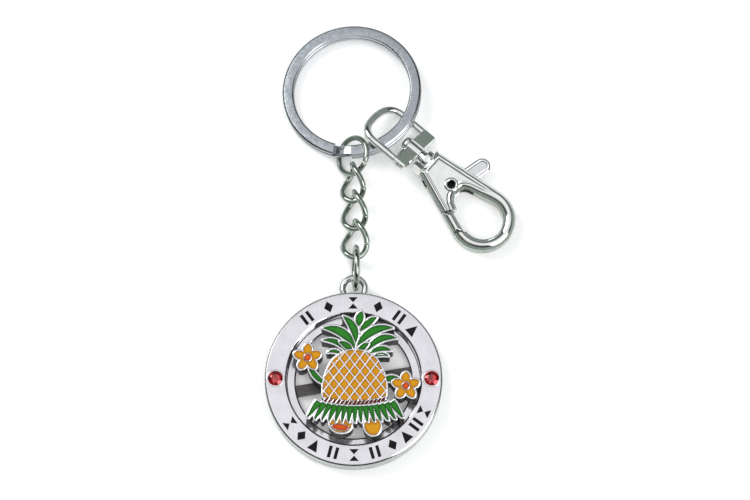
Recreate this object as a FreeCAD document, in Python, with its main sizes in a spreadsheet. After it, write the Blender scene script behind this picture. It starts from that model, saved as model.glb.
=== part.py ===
import FreeCAD, Part
import math
import os
import Sketcher
from FreeCAD import Placement, Rotation, Vector

# Spinner keychain, lying on its back on a flat surface.
# Millimetres. Origin under the middle of the whole keychain, +Z out of the medallion's front,
# +Y from the medallion towards the split ring, +X towards the snap hook. Places in this file
# are counted from the middle of the medallion's back; place() moves each piece from there.

doc = FreeCAD.newDocument("Keychain")
sheet = doc.addObject("Spreadsheet::Sheet", "Dimensions")
X_AXIS = Vector(1, 0, 0)
Y_AXIS = Vector(0, 1, 0)
Z_AXIS = Vector(0, 0, 1)


# ---------------------------------------------------------------- driving dimensions

class Dim:
    """A length or an angle with the sheet expression that gives it."""

    def __init__(self, value, text):
        self.value = float(value)
        self.text = text

    def joined(self, other, sign, value):
        text = other.text if isinstance(other, Dim) else repr(float(other))
        return Dim(value, "(%s %s %s)" % (self.text, sign, text))

    def __float__(self):
        return self.value

    def __add__(self, other):
        return self.joined(other, "+", self.value + float(other))

    def __sub__(self, other):
        return self.joined(other, "-", self.value - float(other))

    def __mul__(self, other):
        return self.joined(other, "*", self.value * float(other))

    def __truediv__(self, other):
        return self.joined(other, "/", self.value / float(other))

    def __neg__(self):
        return Dim(-self.value, "(0 - %s)" % self.text)


class Sizes:
    """Every driving dimension by name."""


SIZES = {
    # middle of the medallion in the keychain's own frame
    "medallion_x": -8.54, "medallion_y": -32.56,
    # medallion frame
    "frame_outer_rad": 20.0, "frame_inner_rad": 15.05, "frame_thick": 5.0, "frame_bevel": 0.3,
    "ledge_inner_rad": 13.1, "ledge_height": 1.9,
    "eyelet_y": 21.27, "eyelet_outer_rad": 3.33, "eyelet_inner_rad": 1.85,
    "eyelet_low": 2.1, "eyelet_thick": 2.0, "eyelet_round": 0.55,
    "mark_rad": 17.5, "mark_height": 2.7, "mark_stroke": 0.75, "mark_depth": 0.35, "mark_fill": 0.3,
    # stones
    "stone_rad": 1.8, "stone_seat_rad": 1.85, "stone_seat_depth": 0.9, "stone_rise": 0.45,
    "stone_table_rad": 0.95,
    # spinner
    "bar_width": 2.6, "bar_length": 28.4, "bar_low": 0.75, "bar_thick": 0.7, "bar_turn": 9.8,
    "stud_rad": 1.2, "stud_hole_rad": 1.26, "retainer_rad": 2.1, "retainer_low": 0.1,
    "retainer_thick": 0.55,
    "emblem_low": 2.2, "emblem_waist": 5.2, "emblem_top": 7.4, "emblem_core_rad": 14.5,
    "rim_width": 0.45, "enamel_depth": 0.45, "enamel_thick": 0.36,
    # split ring
    "ring_outer_rad": 16.2, "ring_inner_rad": 13.6, "coil_height": 1.4, "coil_gap": 0.1,
    "coil_bevel": 0.35, "coil_span": 344.0,
    # jump rings and chain
    "jump_rad": 4.33, "jump_wire_rad": 0.65, "lower_jump_rad": 4.725, "chain_wire_rad": 0.675,
    "jump_sweep": 356.0, "link_half_width": 3.25, "link_half_length": 4.42, "link_twist": 45.0,
    # swivel eye
    "eye_half_width": 6.0, "eye_wire_rad": 0.95, "eye_top": -15.45, "eye_corner_rad": 3.8,
    "eye_corner_x": -11.4, "bar_low_x": -5.2, "bar_high_x": -1.6, "bar_half_thick": 0.9,
    "barrel_rad": 1.65, "eye_bore_rad": 1.11,
    # hook body
    "stem_rad": 1.05, "peen_rad": 2.0, "peen_thick": 1.15, "collar_rad": 2.6, "collar_length": 1.3,
    "collar_gap": 0.35, "hook_half_thick": 2.2, "hook_outer_rad": 7.6, "hook_inner_rad": 4.8,
    "throat_rad": 2.6, "hook_bevel": 0.6, "slot_half": 1.2, "slot_start": 2.8, "slot_end": 13.8,
    # lever, rivet and spring
    "pin_x": 8.7, "pin_y": -1.3, "rivet_rad": 1.3, "rivet_bore_rad": 0.95, "rivet_bore_depth": 1.6,
    "rivet_rim_rad": 1.65, "rivet_rim": 0.2, "rivet_hole_rad": 1.32, "lever_hole_rad": 1.36,
    "lever_low": -1.1, "lever_thick": 1.4, "lever_hub_rad": 2.5, "gate_half_thick": 1.9,
    "gate_reach": 11.3, "gate_gap": 0.15, "tab_half_width": 1.85,
    "spring_rad": 1.75, "spring_wire_rad": 0.16, "spring_pitch": 0.38, "spring_low": 0.56,
    "spring_height": 0.42, "spring_leg": 3.6,
}

dims = Sizes()
for row, (name, number) in enumerate(SIZES.items(), start=1):
    sheet.set("A%d" % row, name)
    sheet.set("B%d" % row, repr(number))
    sheet.setAlias("B%d" % row, name)
    setattr(dims, name, Dim(number, "Dimensions." + name))
doc.recompute()


# ---------------------------------------------------------------- small helpers

def bind(item, prop, dim):
    """Drives a property from the sheet."""
    item.setExpression(prop, dim.text)


def place(item, where=None):
    """Puts a piece, placed from the medallion's middle, into the keychain's frame."""
    shift = Vector(float(dims.medallion_x), float(dims.medallion_y), 0)
    item.Placement = Placement(shift, Rotation()).multiply(where or Placement())


def body(label):
    part = doc.addObject("PartDesign::Body", label)
    part.Label = label
    return part


def plane(part, role):
    return next(f for f in part.Origin.OriginFeatures if f.Role == role)


def sketch(part, name, role, offset=None):
    """A sketch on one of the body's own origin planes."""
    drawing = part.newObject("Sketcher::SketchObject", name)
    drawing.AttachmentSupport = (plane(part, role), [""])
    drawing.MapMode = "FlatFace"
    if offset is not None:
        drawing.AttachmentOffset = offset
    return drawing


def lift(height):
    return Placement(Vector(0, 0, float(height)), Rotation())


def pin_point(drawing, geo, end, x, y):
    """Holds a point of the sketch at a place given by dimensions or plain numbers."""
    for kind, value in (("DistanceX", x), ("DistanceY", y)):
        index = drawing.addConstraint(Sketcher.Constraint(kind, -1, 1, geo, end, float(value)))
        if isinstance(value, Dim):
            drawing.setExpression("Constraints[%d]" % index, value.text)


def polygon(drawing, points):
    """A closed outline of straight lines with every corner held."""
    first = drawing.GeometryCount
    ends = [Vector(float(x), float(y), 0) for x, y in points]
    for start, stop in zip(ends, ends[1:] + ends[:1]):
        drawing.addGeometry(Part.LineSegment(start, stop), False)
    count = len(points)
    for i in range(count):
        after = first + (i + 1) % count
        drawing.addConstraint(Sketcher.Constraint("Coincident", first + i, 2, after, 1))
    for i, (x, y) in enumerate(points):
        pin_point(drawing, first + i, 1, x, y)


def circle(drawing, x, y, rad):
    geo = drawing.addGeometry(
        Part.Circle(Vector(float(x), float(y), 0), Z_AXIS, float(rad)), False)
    pin_point(drawing, geo, 3, x, y)
    index = drawing.addConstraint(Sketcher.Constraint("Radius", geo, float(rad)))
    if isinstance(rad, Dim):
        drawing.setExpression("Constraints[%d]" % index, rad.text)


def outline(drawing, edges):
    """A closed outline of lines and arcs; its points are worked out from the sheet's sizes."""
    for edge in edges:
        drawing.addGeometry(edge, False)


def pad(part, drawing, name, length, midplane=False, reverse=False):
    feature = part.newObject("PartDesign::Pad", name)
    feature.Profile = drawing
    feature.Length = float(length)
    bind(feature, "Length", length)
    feature.Midplane = midplane
    feature.Reversed = reverse
    drawing.Visibility = False
    doc.recompute()
    return feature


def pocket(part, drawing, name, length, midplane=False, reverse=False):
    feature = part.newObject("PartDesign::Pocket", name)
    feature.Profile = drawing
    feature.Length = float(length)
    bind(feature, "Length", length)
    feature.Midplane = midplane
    feature.Reversed = reverse
    before = part.Shape.Volume
    doc.recompute()
    if part.Shape.Volume > before - 1e-4:
        raise RuntimeError("%s cuts nothing" % name)
    return feature


def revolution(part, drawing, name, axis, angle):
    feature = part.newObject("PartDesign::Revolution", name)
    feature.Profile = drawing
    feature.ReferenceAxis = (drawing, [axis])
    feature.Angle = float(angle)
    if isinstance(angle, Dim):
        bind(feature, "Angle", angle)
    doc.recompute()
    return feature


def prism(label, face, low, high):
    """A face of the XY plane pushed up from one height to another."""
    solid = doc.addObject("Part::Extrusion", label)
    base = doc.addObject("Part::Feature", label + "_outline")
    base.Shape = face
    base.Placement = lift(low)
    solid.Base = base
    solid.DirMode = "Custom"
    solid.Dir = Z_AXIS
    solid.LengthFwd = float(high - low)
    bind(solid, "LengthFwd", high - low)
    solid.Solid = True
    return solid


def polar(rad, degrees, centre=(0.0, 0.0)):
    angle = math.radians(degrees)
    return Vector(centre[0] + rad * math.cos(angle), centre[1] + rad * math.sin(angle), 0)


def flat(points):
    return [Vector(x, y, 0) for x, y in points]


def polygon_face(points):
    return Part.Face(Part.makePolygon(list(points) + [points[0]]))


# ---------------------------------------------------------------- split ring

RING_CENTRE = Vector(-0.43, 68.84, 0)
RING_LEAN = 5.0            # the ring rests on the swivel eye and the jump ring
RING_LEAN_TOWARDS = -22.0
RING_STEP_AT = 270.0       # where the wire reaches the upper coil


def ring_placement():
    towards = polar(1.0, RING_LEAN_TOWARDS)
    lean = Rotation(towards.cross(Z_AXIS), RING_LEAN)
    if lean.multVec(towards).z < 0:
        lean = lean.inverted()
    low = float(dims.ring_outer_rad) * math.sin(math.radians(RING_LEAN))
    turned = lean.multiply(Rotation(Z_AXIS, RING_STEP_AT))
    return Placement(RING_CENTRE + Vector(0, 0, low), turned)


def coil_section(low):
    """The flat wire's section, with its four edges bevelled, as radius and height."""
    inner, outer, cut = dims.ring_inner_rad, dims.ring_outer_rad, dims.coil_bevel
    high = low + dims.coil_height
    return [(inner + cut, low), (outer - cut, low), (outer, low + cut), (outer, high - cut),
            (outer - cut, high), (inner + cut, high), (inner, high - cut), (inner, low + cut)]


def split_ring():
    part = body("split_ring")
    pitch = dims.coil_height + dims.coil_gap
    zero = dims.coil_gap * 0
    for name, low in (("LowerCoil", zero), ("UpperCoil", pitch)):
        drawing = sketch(part, name + "Section", "XZ_Plane")
        polygon(drawing, coil_section(low))
        revolution(part, drawing, name, "V_Axis", dims.coil_span)
    sections = []
    steps = 4
    span = float(dims.coil_span)
    for step in range(steps + 1):
        share = step / steps
        turn = Rotation(Y_AXIS, span + (360.0 - span) * share)
        drawing = sketch(part, "StepSection%d" % step, "XZ_Plane", Placement(Vector(), turn))
        polygon(drawing, coil_section(pitch * share))
        sections.append(drawing)
    climb = part.newObject("PartDesign::AdditiveLoft", "Step")
    climb.Profile = sections[0]
    climb.Sections = sections[1:]
    doc.recompute()
    place(part, ring_placement())
    return part


# ---------------------------------------------------------------- jump rings and chain

JUMP_CENTRE = Vector(-0.3, 52.95, 3.62)
JUMP_LEAN = 42.0           # its left side lies under the split ring, its right side over it
JUMP_CUT_AT = -30.0
LOWER_JUMP_CENTRE = Vector(0.42, 25.6, 5.41)
LOWER_JUMP_LEAN = 4.0      # it stands on edge, a little off upright
LINKS = (
    # label, centre, roll about the chain's line, rise of its upper end
    ("chain_link_1", Vector(-0.25, 46.45, 3.65), 54.0, 0.0),
    ("chain_link_2", Vector(0.1, 39.85, 3.5), 48.0, 0.0),
    ("chain_link_3", Vector(0.25, 32.85, 3.6), 40.0, -6.0),
)
LINK_POINTS = 16           # points of a link's centre line
LINK_CUT = 0.1             # the butt joint of a link's wire


def jump_ring(label, rad, wire_rad, where):
    """A round wire ring with a saw cut."""
    ring = doc.addObject("Part::Torus", label)
    ring.Label = label
    bind(ring, "Radius1", rad)
    bind(ring, "Radius2", wire_rad)
    bind(ring, "Angle3", dims.jump_sweep)
    place(ring, where)
    return ring


def upper_ring():
    turned = Rotation(Y_AXIS, -JUMP_LEAN).multiply(Rotation(Z_AXIS, JUMP_CUT_AT))
    where = Placement(JUMP_CENTRE, turned)
    return jump_ring("upper_ring", dims.jump_rad, dims.jump_wire_rad, where)


def lower_ring():
    upright = Rotation(Y_AXIS, LOWER_JUMP_LEAN).multiply(Rotation(Vector(1, 1, 1), 120.0))
    where = Placement(LOWER_JUMP_CENTRE, upright.multiply(Rotation(Z_AXIS, 60.0)))
    return jump_ring("lower_ring", dims.lower_jump_rad, dims.chain_wire_rad, where)


def link_point(angle):
    """A curb link's centre line: an oval whose two ends are turned against each other."""
    half_width, half_length = float(dims.link_half_width), float(dims.link_half_length)
    turn = math.radians(float(dims.link_twist)) * math.sin(angle)
    across = half_width * math.cos(angle)
    return Vector(across * math.cos(turn), half_length * math.sin(angle), across * math.sin(turn))


def rounded_route(points):
    """Straight runs through the points, joined by tangent arcs."""
    edges = []
    cut = [0.5 * min((b - a).Length, (c - b).Length)
           for a, b, c in zip(points, points[1:], points[2:])]
    at = points[0]
    for i, corner in enumerate(points[1:-1]):
        before, after = points[i], points[i + 2]
        start = corner + (before - corner).normalize() * cut[i]
        stop = corner + (after - corner).normalize() * cut[i]
        if (start - at).Length > 1e-6:
            edges.append(Part.makeLine(at, start))
        middle = (start + stop) * 0.5
        half_turn = 0.5 * (corner - before).getAngle(after - corner)
        sag = cut[i] * (1 - math.cos(half_turn)) / math.sin(half_turn)
        edges.append(Part.Arc(start, middle + (corner - middle).normalize() * sag, stop).toShape())
        at = stop
    edges.append(Part.makeLine(at, points[-1]))
    return Part.Wire(edges)


def chain_link(label, centre, roll, rise):
    cut_angle = LINK_CUT / float(dims.link_half_length)
    first = -0.35
    turns = [first + cut_angle / 2 + (2 * math.pi - cut_angle) * i / LINK_POINTS
             for i in range(LINK_POINTS + 1)]
    path = doc.addObject("Part::Feature", label + "_path")
    path.Shape = rounded_route([link_point(turn) for turn in turns])
    start, ahead = path.Shape.Edges[0].valueAt(0), path.Shape.Edges[0].tangentAt(0)
    section = doc.addObject("Part::Circle", label + "_section")
    bind(section, "Radius", dims.chain_wire_rad)
    section.Placement = Placement(start, Rotation(Z_AXIS, ahead))
    doc.recompute()
    wire = doc.addObject("Part::Sweep", label)
    wire.Label = label
    wire.Sections = [section]
    wire.Spine = (path, ["Edge%d" % (i + 1) for i in range(len(path.Shape.Edges))])
    wire.Solid = True
    wire.Frenet = False
    wire.Transition = "Transformed"
    where = Rotation(X_AXIS, rise).multiply(Rotation(Y_AXIS, -roll))
    place(wire, Placement(centre, where))
    return wire


# ---------------------------------------------------------------- medallion frame

STONE_AT = ((-17.55, 0.0), (17.55, 0.0))
UPPER_MARKS = (("bars", 127.0), ("diamond", 109.0), ("hourglass", 90.5), ("diamond", 71.5),
               ("bars", 54.0), ("triangle", 40.0))
LOWER_MARKS = (("hourglass", 216.0), ("diamond", 228.5), ("triangle", 240.5), ("bars", 255.0),
               ("hourglass", 270.5), ("bars", 286.0), ("diamond", 300.0), ("triangle", 311.5),
               ("bars", 323.0), ("hourglass", 334.0))


def mark_shapes(kind):
    """A geometric border motif about its own middle, as closed outlines, +Y outwards."""
    tall = float(dims.mark_height) / 2
    stroke = float(dims.mark_stroke)
    if kind == "bars":
        return [[(x - stroke / 2, -tall), (x + stroke / 2, -tall), (x + stroke / 2, tall),
                 (x - stroke / 2, tall)] for x in (-stroke, stroke)]
    if kind == "diamond":
        return [[(0, -tall), (tall * 0.8, 0), (0, tall), (-tall * 0.8, 0)]]
    if kind == "hourglass":
        waist = stroke * 0.2
        return [[(-tall * 0.8, side * tall), (tall * 0.8, side * tall), (0, side * waist)]
                for side in (-1, 1)]
    return [[(-tall * 0.9, -tall), (tall * 0.9, -tall), (0, tall)]]


def mark_outlines(marks, upright):
    """Every outline of a row of marks, set round the face."""
    outlines = []
    for kind, degrees in marks:
        centre = polar(float(dims.mark_rad), degrees)
        turn = Rotation(Z_AXIS, degrees - 90.0 if upright else degrees + 90.0)
        for shape in mark_shapes(kind):
            outlines.append([centre + turn.multVec(Vector(x, y, 0)) for x, y in shape])
    return outlines


def mark_sketch(part, name, marks, upright):
    drawing = sketch(part, name, "XY_Plane", lift(dims.frame_thick))
    bind(drawing, "AttachmentOffset.Base.z", dims.frame_thick)
    for points in mark_outlines(marks, upright):
        outline(drawing, [Part.LineSegment(a, b) for a, b in zip(points, points[1:] + points[:1])])
    return drawing


def medallion_frame():
    part = body("medallion_frame")
    profile = sketch(part, "RimSection", "XZ_Plane")
    outer, inner, ledge = dims.frame_outer_rad, dims.frame_inner_rad, dims.ledge_inner_rad
    top, cut, zero = dims.frame_thick, dims.frame_bevel, dims.frame_thick * 0
    polygon(profile, [(ledge, zero), (outer - cut, zero), (outer, cut), (outer, top - cut),
                      (outer - cut, top), (inner, top), (inner, dims.ledge_height),
                      (ledge, dims.ledge_height)])
    revolution(part, profile, "Rim", "V_Axis", 360.0)
    eyelet = sketch(part, "EyeletOutline", "XY_Plane", lift(dims.eyelet_low))
    bind(eyelet, "AttachmentOffset.Base.z", dims.eyelet_low)
    circle(eyelet, 0, dims.eyelet_y, dims.eyelet_outer_rad)
    circle(eyelet, 0, dims.eyelet_y, dims.eyelet_inner_rad)
    pad(part, eyelet, "Eyelet", dims.eyelet_thick)
    rings = part.Tip
    rounding = part.newObject("PartDesign::Fillet", "EyeletRound")
    rounding.Base = (rings, eyelet_edges(rings.Shape))
    bind(rounding, "Radius", dims.eyelet_round)
    doc.recompute()
    seats = sketch(part, "StoneSeats", "XY_Plane", lift(dims.frame_thick))
    bind(seats, "AttachmentOffset.Base.z", dims.frame_thick)
    for x, y in STONE_AT:
        circle(seats, x, y, dims.stone_seat_rad)
    pocket(part, seats, "StoneSeat", dims.stone_seat_depth)
    for name, marks, upright in (("UpperMarks", UPPER_MARKS, True),
                                 ("LowerMarks", LOWER_MARKS, False)):
        pocket(part, mark_sketch(part, name, marks, upright), name + "Recess", dims.mark_depth)
    slot = sketch(part, "BarSlot", "XY_Plane")
    half, wide = dims.bar_length / 2 + 0.05, dims.bar_width / 2 + 0.05
    slot.AttachmentOffset = Placement(Vector(), Rotation(Z_AXIS, float(dims.bar_turn)))
    polygon(slot, [(-half, -wide), (half, -wide), (half, wide), (-half, wide)])
    pocket(part, slot, "BarSlotCut", dims.bar_low + dims.bar_thick + 0.02, reverse=True)
    place(part)
    return part


def eyelet_edges(shape):
    """The round edges at the eyelet's front and back."""
    found = []
    levels = (float(dims.eyelet_low), float(dims.eyelet_low + dims.eyelet_thick))
    radii = (float(dims.eyelet_outer_rad), float(dims.eyelet_inner_rad))
    for i, edge in enumerate(shape.Edges):
        round_edge = hasattr(edge.Curve, "Radius") and hasattr(edge.Curve, "Center")
        if not round_edge or abs(edge.Curve.Center.y - float(dims.eyelet_y)) > 1e-3:
            continue
        near_level = min(abs(edge.Curve.Center.z - level) for level in levels) < 1e-3
        near_rad = min(abs(edge.Curve.Radius - rad) for rad in radii) < 1e-3
        if near_level and near_rad:
            found.append("Edge%d" % (i + 1))
    return found


def mark_enamel(label, marks, upright):
    """Black enamel that fills a row of recesses a little short of the face."""
    faces = [polygon_face(points) for points in mark_outlines(marks, upright)]
    low = dims.frame_thick - dims.mark_depth
    fill = prism(label, Part.makeCompound(faces), low, low + dims.mark_fill)
    fill.Label = label
    doc.recompute()
    place(fill)
    return fill


def rhinestone(label, x, y):
    """A round-cut stone: a short girdle under a twelve-sided crown."""
    part = body(label)
    girdle = sketch(part, "Girdle", "XY_Plane")
    circle(girdle, 0, 0, dims.stone_rad)
    pad(part, girdle, "GirdlePad", dims.stone_seat_depth)
    sides = 12
    rims = []
    for name, rad, height in (("Rim", dims.stone_rad * 0.99, dims.stone_seat_depth),
                              ("Table", dims.stone_table_rad,
                               dims.stone_seat_depth + dims.stone_rise)):
        drawing = sketch(part, name, "XY_Plane", lift(height))
        bind(drawing, "AttachmentOffset.Base.z", height)
        polygon(drawing, [(rad * math.cos(2 * math.pi * i / sides),
                           rad * math.sin(2 * math.pi * i / sides)) for i in range(sides)])
        rims.append(drawing)
    crown = part.newObject("PartDesign::AdditiveLoft", "Crown")
    crown.Profile = rims[0]
    crown.Sections = rims[1:]
    crown.Ruled = True
    doc.recompute()
    place(part, Placement(Vector(x, y, float(dims.frame_thick - dims.stone_seat_depth)), Rotation()))
    return part


# ---------------------------------------------------------------- spinner bar and retainer

def drilled(label, solid, hole_rad, where):
    """A solid with a round hole along Z through its origin."""
    hole = doc.addObject("Part::Cylinder", label + "_hole")
    bind(hole, "Radius", hole_rad)
    hole.Height = 20.0
    hole.Placement = lift(-10.0)
    cut = doc.addObject("Part::Cut", label)
    cut.Label = label
    cut.Base = solid
    cut.Tool = hole
    place(cut, where)
    return cut


def spinner_bar():
    strip = doc.addObject("Part::Box", "spinner_bar_strip")
    bind(strip, "Length", dims.bar_length)
    bind(strip, "Width", dims.bar_width)
    bind(strip, "Height", dims.bar_thick)
    strip.Placement = Placement(
        Vector(-float(dims.bar_length) / 2, -float(dims.bar_width) / 2, 0), Rotation())
    where = Placement(Vector(0, 0, float(dims.bar_low)), Rotation(Z_AXIS, float(dims.bar_turn)))
    return drilled("spinner_bar", strip, dims.stud_hole_rad, where)


def spinner_retainer():
    disc = doc.addObject("Part::Cylinder", "spinner_retainer_disc")
    bind(disc, "Radius", dims.retainer_rad)
    bind(disc, "Height", dims.retainer_thick)
    return drilled("spinner_retainer", disc, dims.stud_rad, lift(dims.retainer_low))


# ---------------------------------------------------------------- emblem outlines

FRUIT_CENTRE = (0.3, -0.4)
# Crown leaves from the front one to the back one: tip, base, and how far each edge bows
# to the left of the line from base to tip.
LEAVES = (
    ((-3.2, 7.9), (-0.2, 5.7), 0.35, -0.9),
    ((3.5, 7.5), (0.9, 5.7), 0.75, -0.45),
    ((1.7, 15.0), (1.1, 11.6), 0.85, -0.85),
    ((-2.3, 13.8), (0.5, 7.6), -0.15, -1.75),
    ((8.9, 11.1), (0.8, 6.6), 2.5, 0.75),
    ((-6.9, 11.1), (0.3, 6.3), -0.6, -2.4),
    ((5.3, 13.6), (1.5, 10.4), 1.05, -0.35),
    ((9.7, 8.7), (3.1, 5.8), 2.1, 0.7),
    ((-6.9, 8.3), (-1.6, 5.6), -0.5, -1.5),
    ((8.5, 5.9), (3.6, 5.2), 1.3, 0.3),
    ((-5.8, 5.5), (-2.7, 5.0), -0.2, -0.85),
    ((7.8, 4.7), (4.4, 4.5), 0.75, 0.1),
)
# Leaves that hold the two blossoms.
SIDE_LEAVES = (
    ((-10.1, 2.9), (-5.9, -1.9), 0.1, 1.15),
    ((10.9, -1.2), (6.2, -1.0), 1.25, -0.1),
)
BLOSSOMS = ((-10.3, 4.3), (11.7, -2.2))
PETALS = 5
PETAL_REACH = 1.62
PETAL_RAD = 1.12
SMALL_FRUITS = (((-2.8, -11.0), 2.4, 1.75, -8.0), ((4.3, -11.4), 1.75, 1.95, 15.0))
SLICE = ((-2.9, -11.6), 1.85, 0.62, -8.0)
FROND_FOCUS = (0.4, 6.0)
FROND_SPREAD = 37.0
FRONDS = 15


def leaf_face(leaf, grow=0.0):
    """A leaf between two arcs, grown outwards by a margin."""
    tip, base, left, right = leaf
    tip, base = Vector(tip[0], tip[1], 0), Vector(base[0], base[1], 0)
    along = (tip - base).normalize()
    side = Vector(-along.y, along.x, 0)
    tip, base = tip + along * grow * 1.2, base - along * grow * 1.2
    middle = (tip + base) * 0.5
    edges = [Part.Arc(base, middle + side * (left + grow), tip).toShape(),
             Part.Arc(tip, middle + side * (right - grow), base).toShape()]
    return Part.Face(Part.Wire(edges))


def fruit_face(grow=0.0):
    """The pineapple's body: an egg shape with a gently curved foot."""
    def out(x, y):
        centre = Vector(FRUIT_CENTRE[0], FRUIT_CENTRE[1], 0)
        point = Vector(x, y, 0)
        return point + (point - centre).normalize() * grow
    edges = [Part.Arc(out(-6.7, -4.7), out(-6.4, -0.3), out(-4.6, 3.7)),
             Part.Arc(out(-4.6, 3.7), out(0.3, 5.95), out(5.2, 3.7)),
             Part.Arc(out(5.2, 3.7), out(7.0, -0.3), out(7.3, -4.5)),
             Part.Arc(out(7.3, -4.5), out(0.3, -5.6), out(-6.7, -4.7))]
    return Part.Face(Part.Wire([edge.toShape() for edge in edges]))


def oval_face(centre, half_x, half_y, turn, grow=0.0):
    oval = Part.Ellipse(Vector(), max(half_x, half_y) + grow, min(half_x, half_y) + grow)
    face = Part.Face(Part.Wire([oval.toShape()]))
    extra = 90.0 if half_y > half_x else 0.0
    face.Placement = Placement(Vector(centre[0], centre[1], 0), Rotation(Z_AXIS, turn + extra))
    return face


def petal_faces(centre, grow=0.0):
    faces = []
    for i in range(PETALS):
        degrees = 90.0 + 360.0 * i / PETALS
        at = polar(PETAL_REACH, degrees, centre)
        faces.append(oval_face((at.x, at.y), PETAL_RAD + 0.35, PETAL_RAD - 0.2, degrees, grow))
    return faces


def frond_radius(degrees, centre_rad, end_rad):
    """Distance from the fan's focus: longer towards both ends of the fan."""
    return centre_rad + (end_rad - centre_rad) * (degrees / FROND_SPREAD) ** 2


def frond_face(index, grow=0.0):
    step = 2 * FROND_SPREAD / FRONDS
    middle = -FROND_SPREAD + step * (index + 0.5)
    inner = frond_radius(middle, 12.9, 14.6) - grow
    outer = frond_radius(middle, 16.2, 18.7) + grow
    half = math.degrees(0.42 / inner)
    tip = math.degrees(0.28 / outer)
    spare = math.degrees(grow / outer)
    corners = [(inner, middle - half - spare), (outer, middle - tip - spare),
               (outer + 0.35, middle + tip * 0.4), (inner, middle + half + spare)]
    return polygon_face([polar(rad, degrees - 90.0, FROND_FOCUS) for rad, degrees in corners])


def rope_faces():
    """Slanting strands of the rope under the fruit."""
    faces = []
    strands = 15
    for i in range(strands):
        share = (i + 0.5) / strands
        x = -6.5 + 13.6 * share
        y = -6.15 + 0.019 * (x - 0.3) ** 2
        faces.append(polygon_face(flat([(x - 0.42, y - 0.28), (x + 0.02, y - 0.28),
                                        (x + 0.42, y + 0.28), (x - 0.02, y + 0.28)])))
    return faces


def rope_band():
    top = Part.Arc(Vector(-7.2, -4.6, 0), Vector(0.3, -5.5, 0), Vector(7.8, -4.4, 0))
    foot = Part.Arc(Vector(7.8, -5.4, 0), Vector(0.3, -6.6, 0), Vector(-7.2, -5.6, 0))
    edges = [top.toShape(), Part.makeLine(Vector(7.8, -4.4, 0), Vector(7.8, -5.4, 0)),
             foot.toShape(), Part.makeLine(Vector(-7.2, -5.6, 0), Vector(-7.2, -4.6, 0))]
    return Part.Face(Part.Wire(edges))


def lattice_bands():
    """The raised lines that cross the fruit both ways."""
    bands = []
    spacing, half = 2.35, 0.17
    for slope in (52.0, -52.0):
        turn = Rotation(Z_AXIS, slope)
        for i in range(-5, 6):
            centre = Vector(FRUIT_CENTRE[0] + i * spacing, FRUIT_CENTRE[1], 0)
            corners = [Vector(-12, -half, 0), Vector(12, -half, 0),
                       Vector(12, half, 0), Vector(-12, half, 0)]
            bands.append(polygon_face([centre + turn.multVec(c) for c in corners]))
    return bands


def without(face, tools):
    return face.cut(tools) if tools else face


def emblem_cells():
    """The enamelled cells by colour, and the silhouette pieces of the casting."""
    gap = float(dims.rim_width) * 0.75
    rim = float(dims.rim_width)
    fronts = [fruit_face(gap)]
    cells = {"fruit_enamel": [without(fruit_face(), lattice_bands())]}
    leaf_cells = []
    for leaf in LEAVES:
        leaf_cells.append(without(leaf_face(leaf), fronts))
        fronts.append(leaf_face(leaf, gap))
    band = rope_band()
    blossom_guard = [petal for centre in BLOSSOMS for petal in petal_faces(centre, gap)]
    for leaf in SIDE_LEAVES:
        leaf_cells.append(without(leaf_face(leaf), [fruit_face(gap)] + blossom_guard))
    cells["leaf_enamel"] = leaf_cells
    cells["rope_enamel"] = rope_faces()
    cells["frond_enamel"] = [frond_face(i) for i in range(FRONDS)]
    heart = [oval_face(centre, 0.75, 0.75, 0.0) for centre in BLOSSOMS]
    guards = [oval_face(centre, 0.75, 0.75, 0.0, 0.25) for centre in BLOSSOMS]
    cells["blossom_enamel"] = [without(petal, guards)
                               for centre in BLOSSOMS for petal in petal_faces(centre)]
    frond_guard = [frond_face(i, gap) for i in range(FRONDS)]
    slice_face = oval_face(*SLICE)
    fruits = [oval_face(*fruit) for fruit in SMALL_FRUITS]
    slice_guard = [oval_face(*SLICE, grow=0.22)]
    cells["small_fruit_enamel"] = [without(fruit, frond_guard + slice_guard) for fruit in fruits]
    cells["slice_enamel"] = heart + [slice_face]
    pieces = [fruit_face(rim), band]
    pieces += [leaf_face(leaf, rim) for leaf in LEAVES + SIDE_LEAVES]
    pieces += [petal for centre in BLOSSOMS for petal in petal_faces(centre, rim)]
    pieces += [frond_face(i, rim) for i in range(FRONDS)]
    pieces += [oval_face(*fruit, grow=rim) for fruit in SMALL_FRUITS]
    return cells, pieces


def raised(faces, low, high):
    """Faces of the XY plane as one solid shape between two heights."""
    rise = Vector(0, 0, high - low)
    solids = []
    for face in faces:
        for single in face.Faces:
            moved = single.copy()
            moved.translate(Vector(0, 0, low))
            solids.append(moved.extrude(rise))
    return solids


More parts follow.
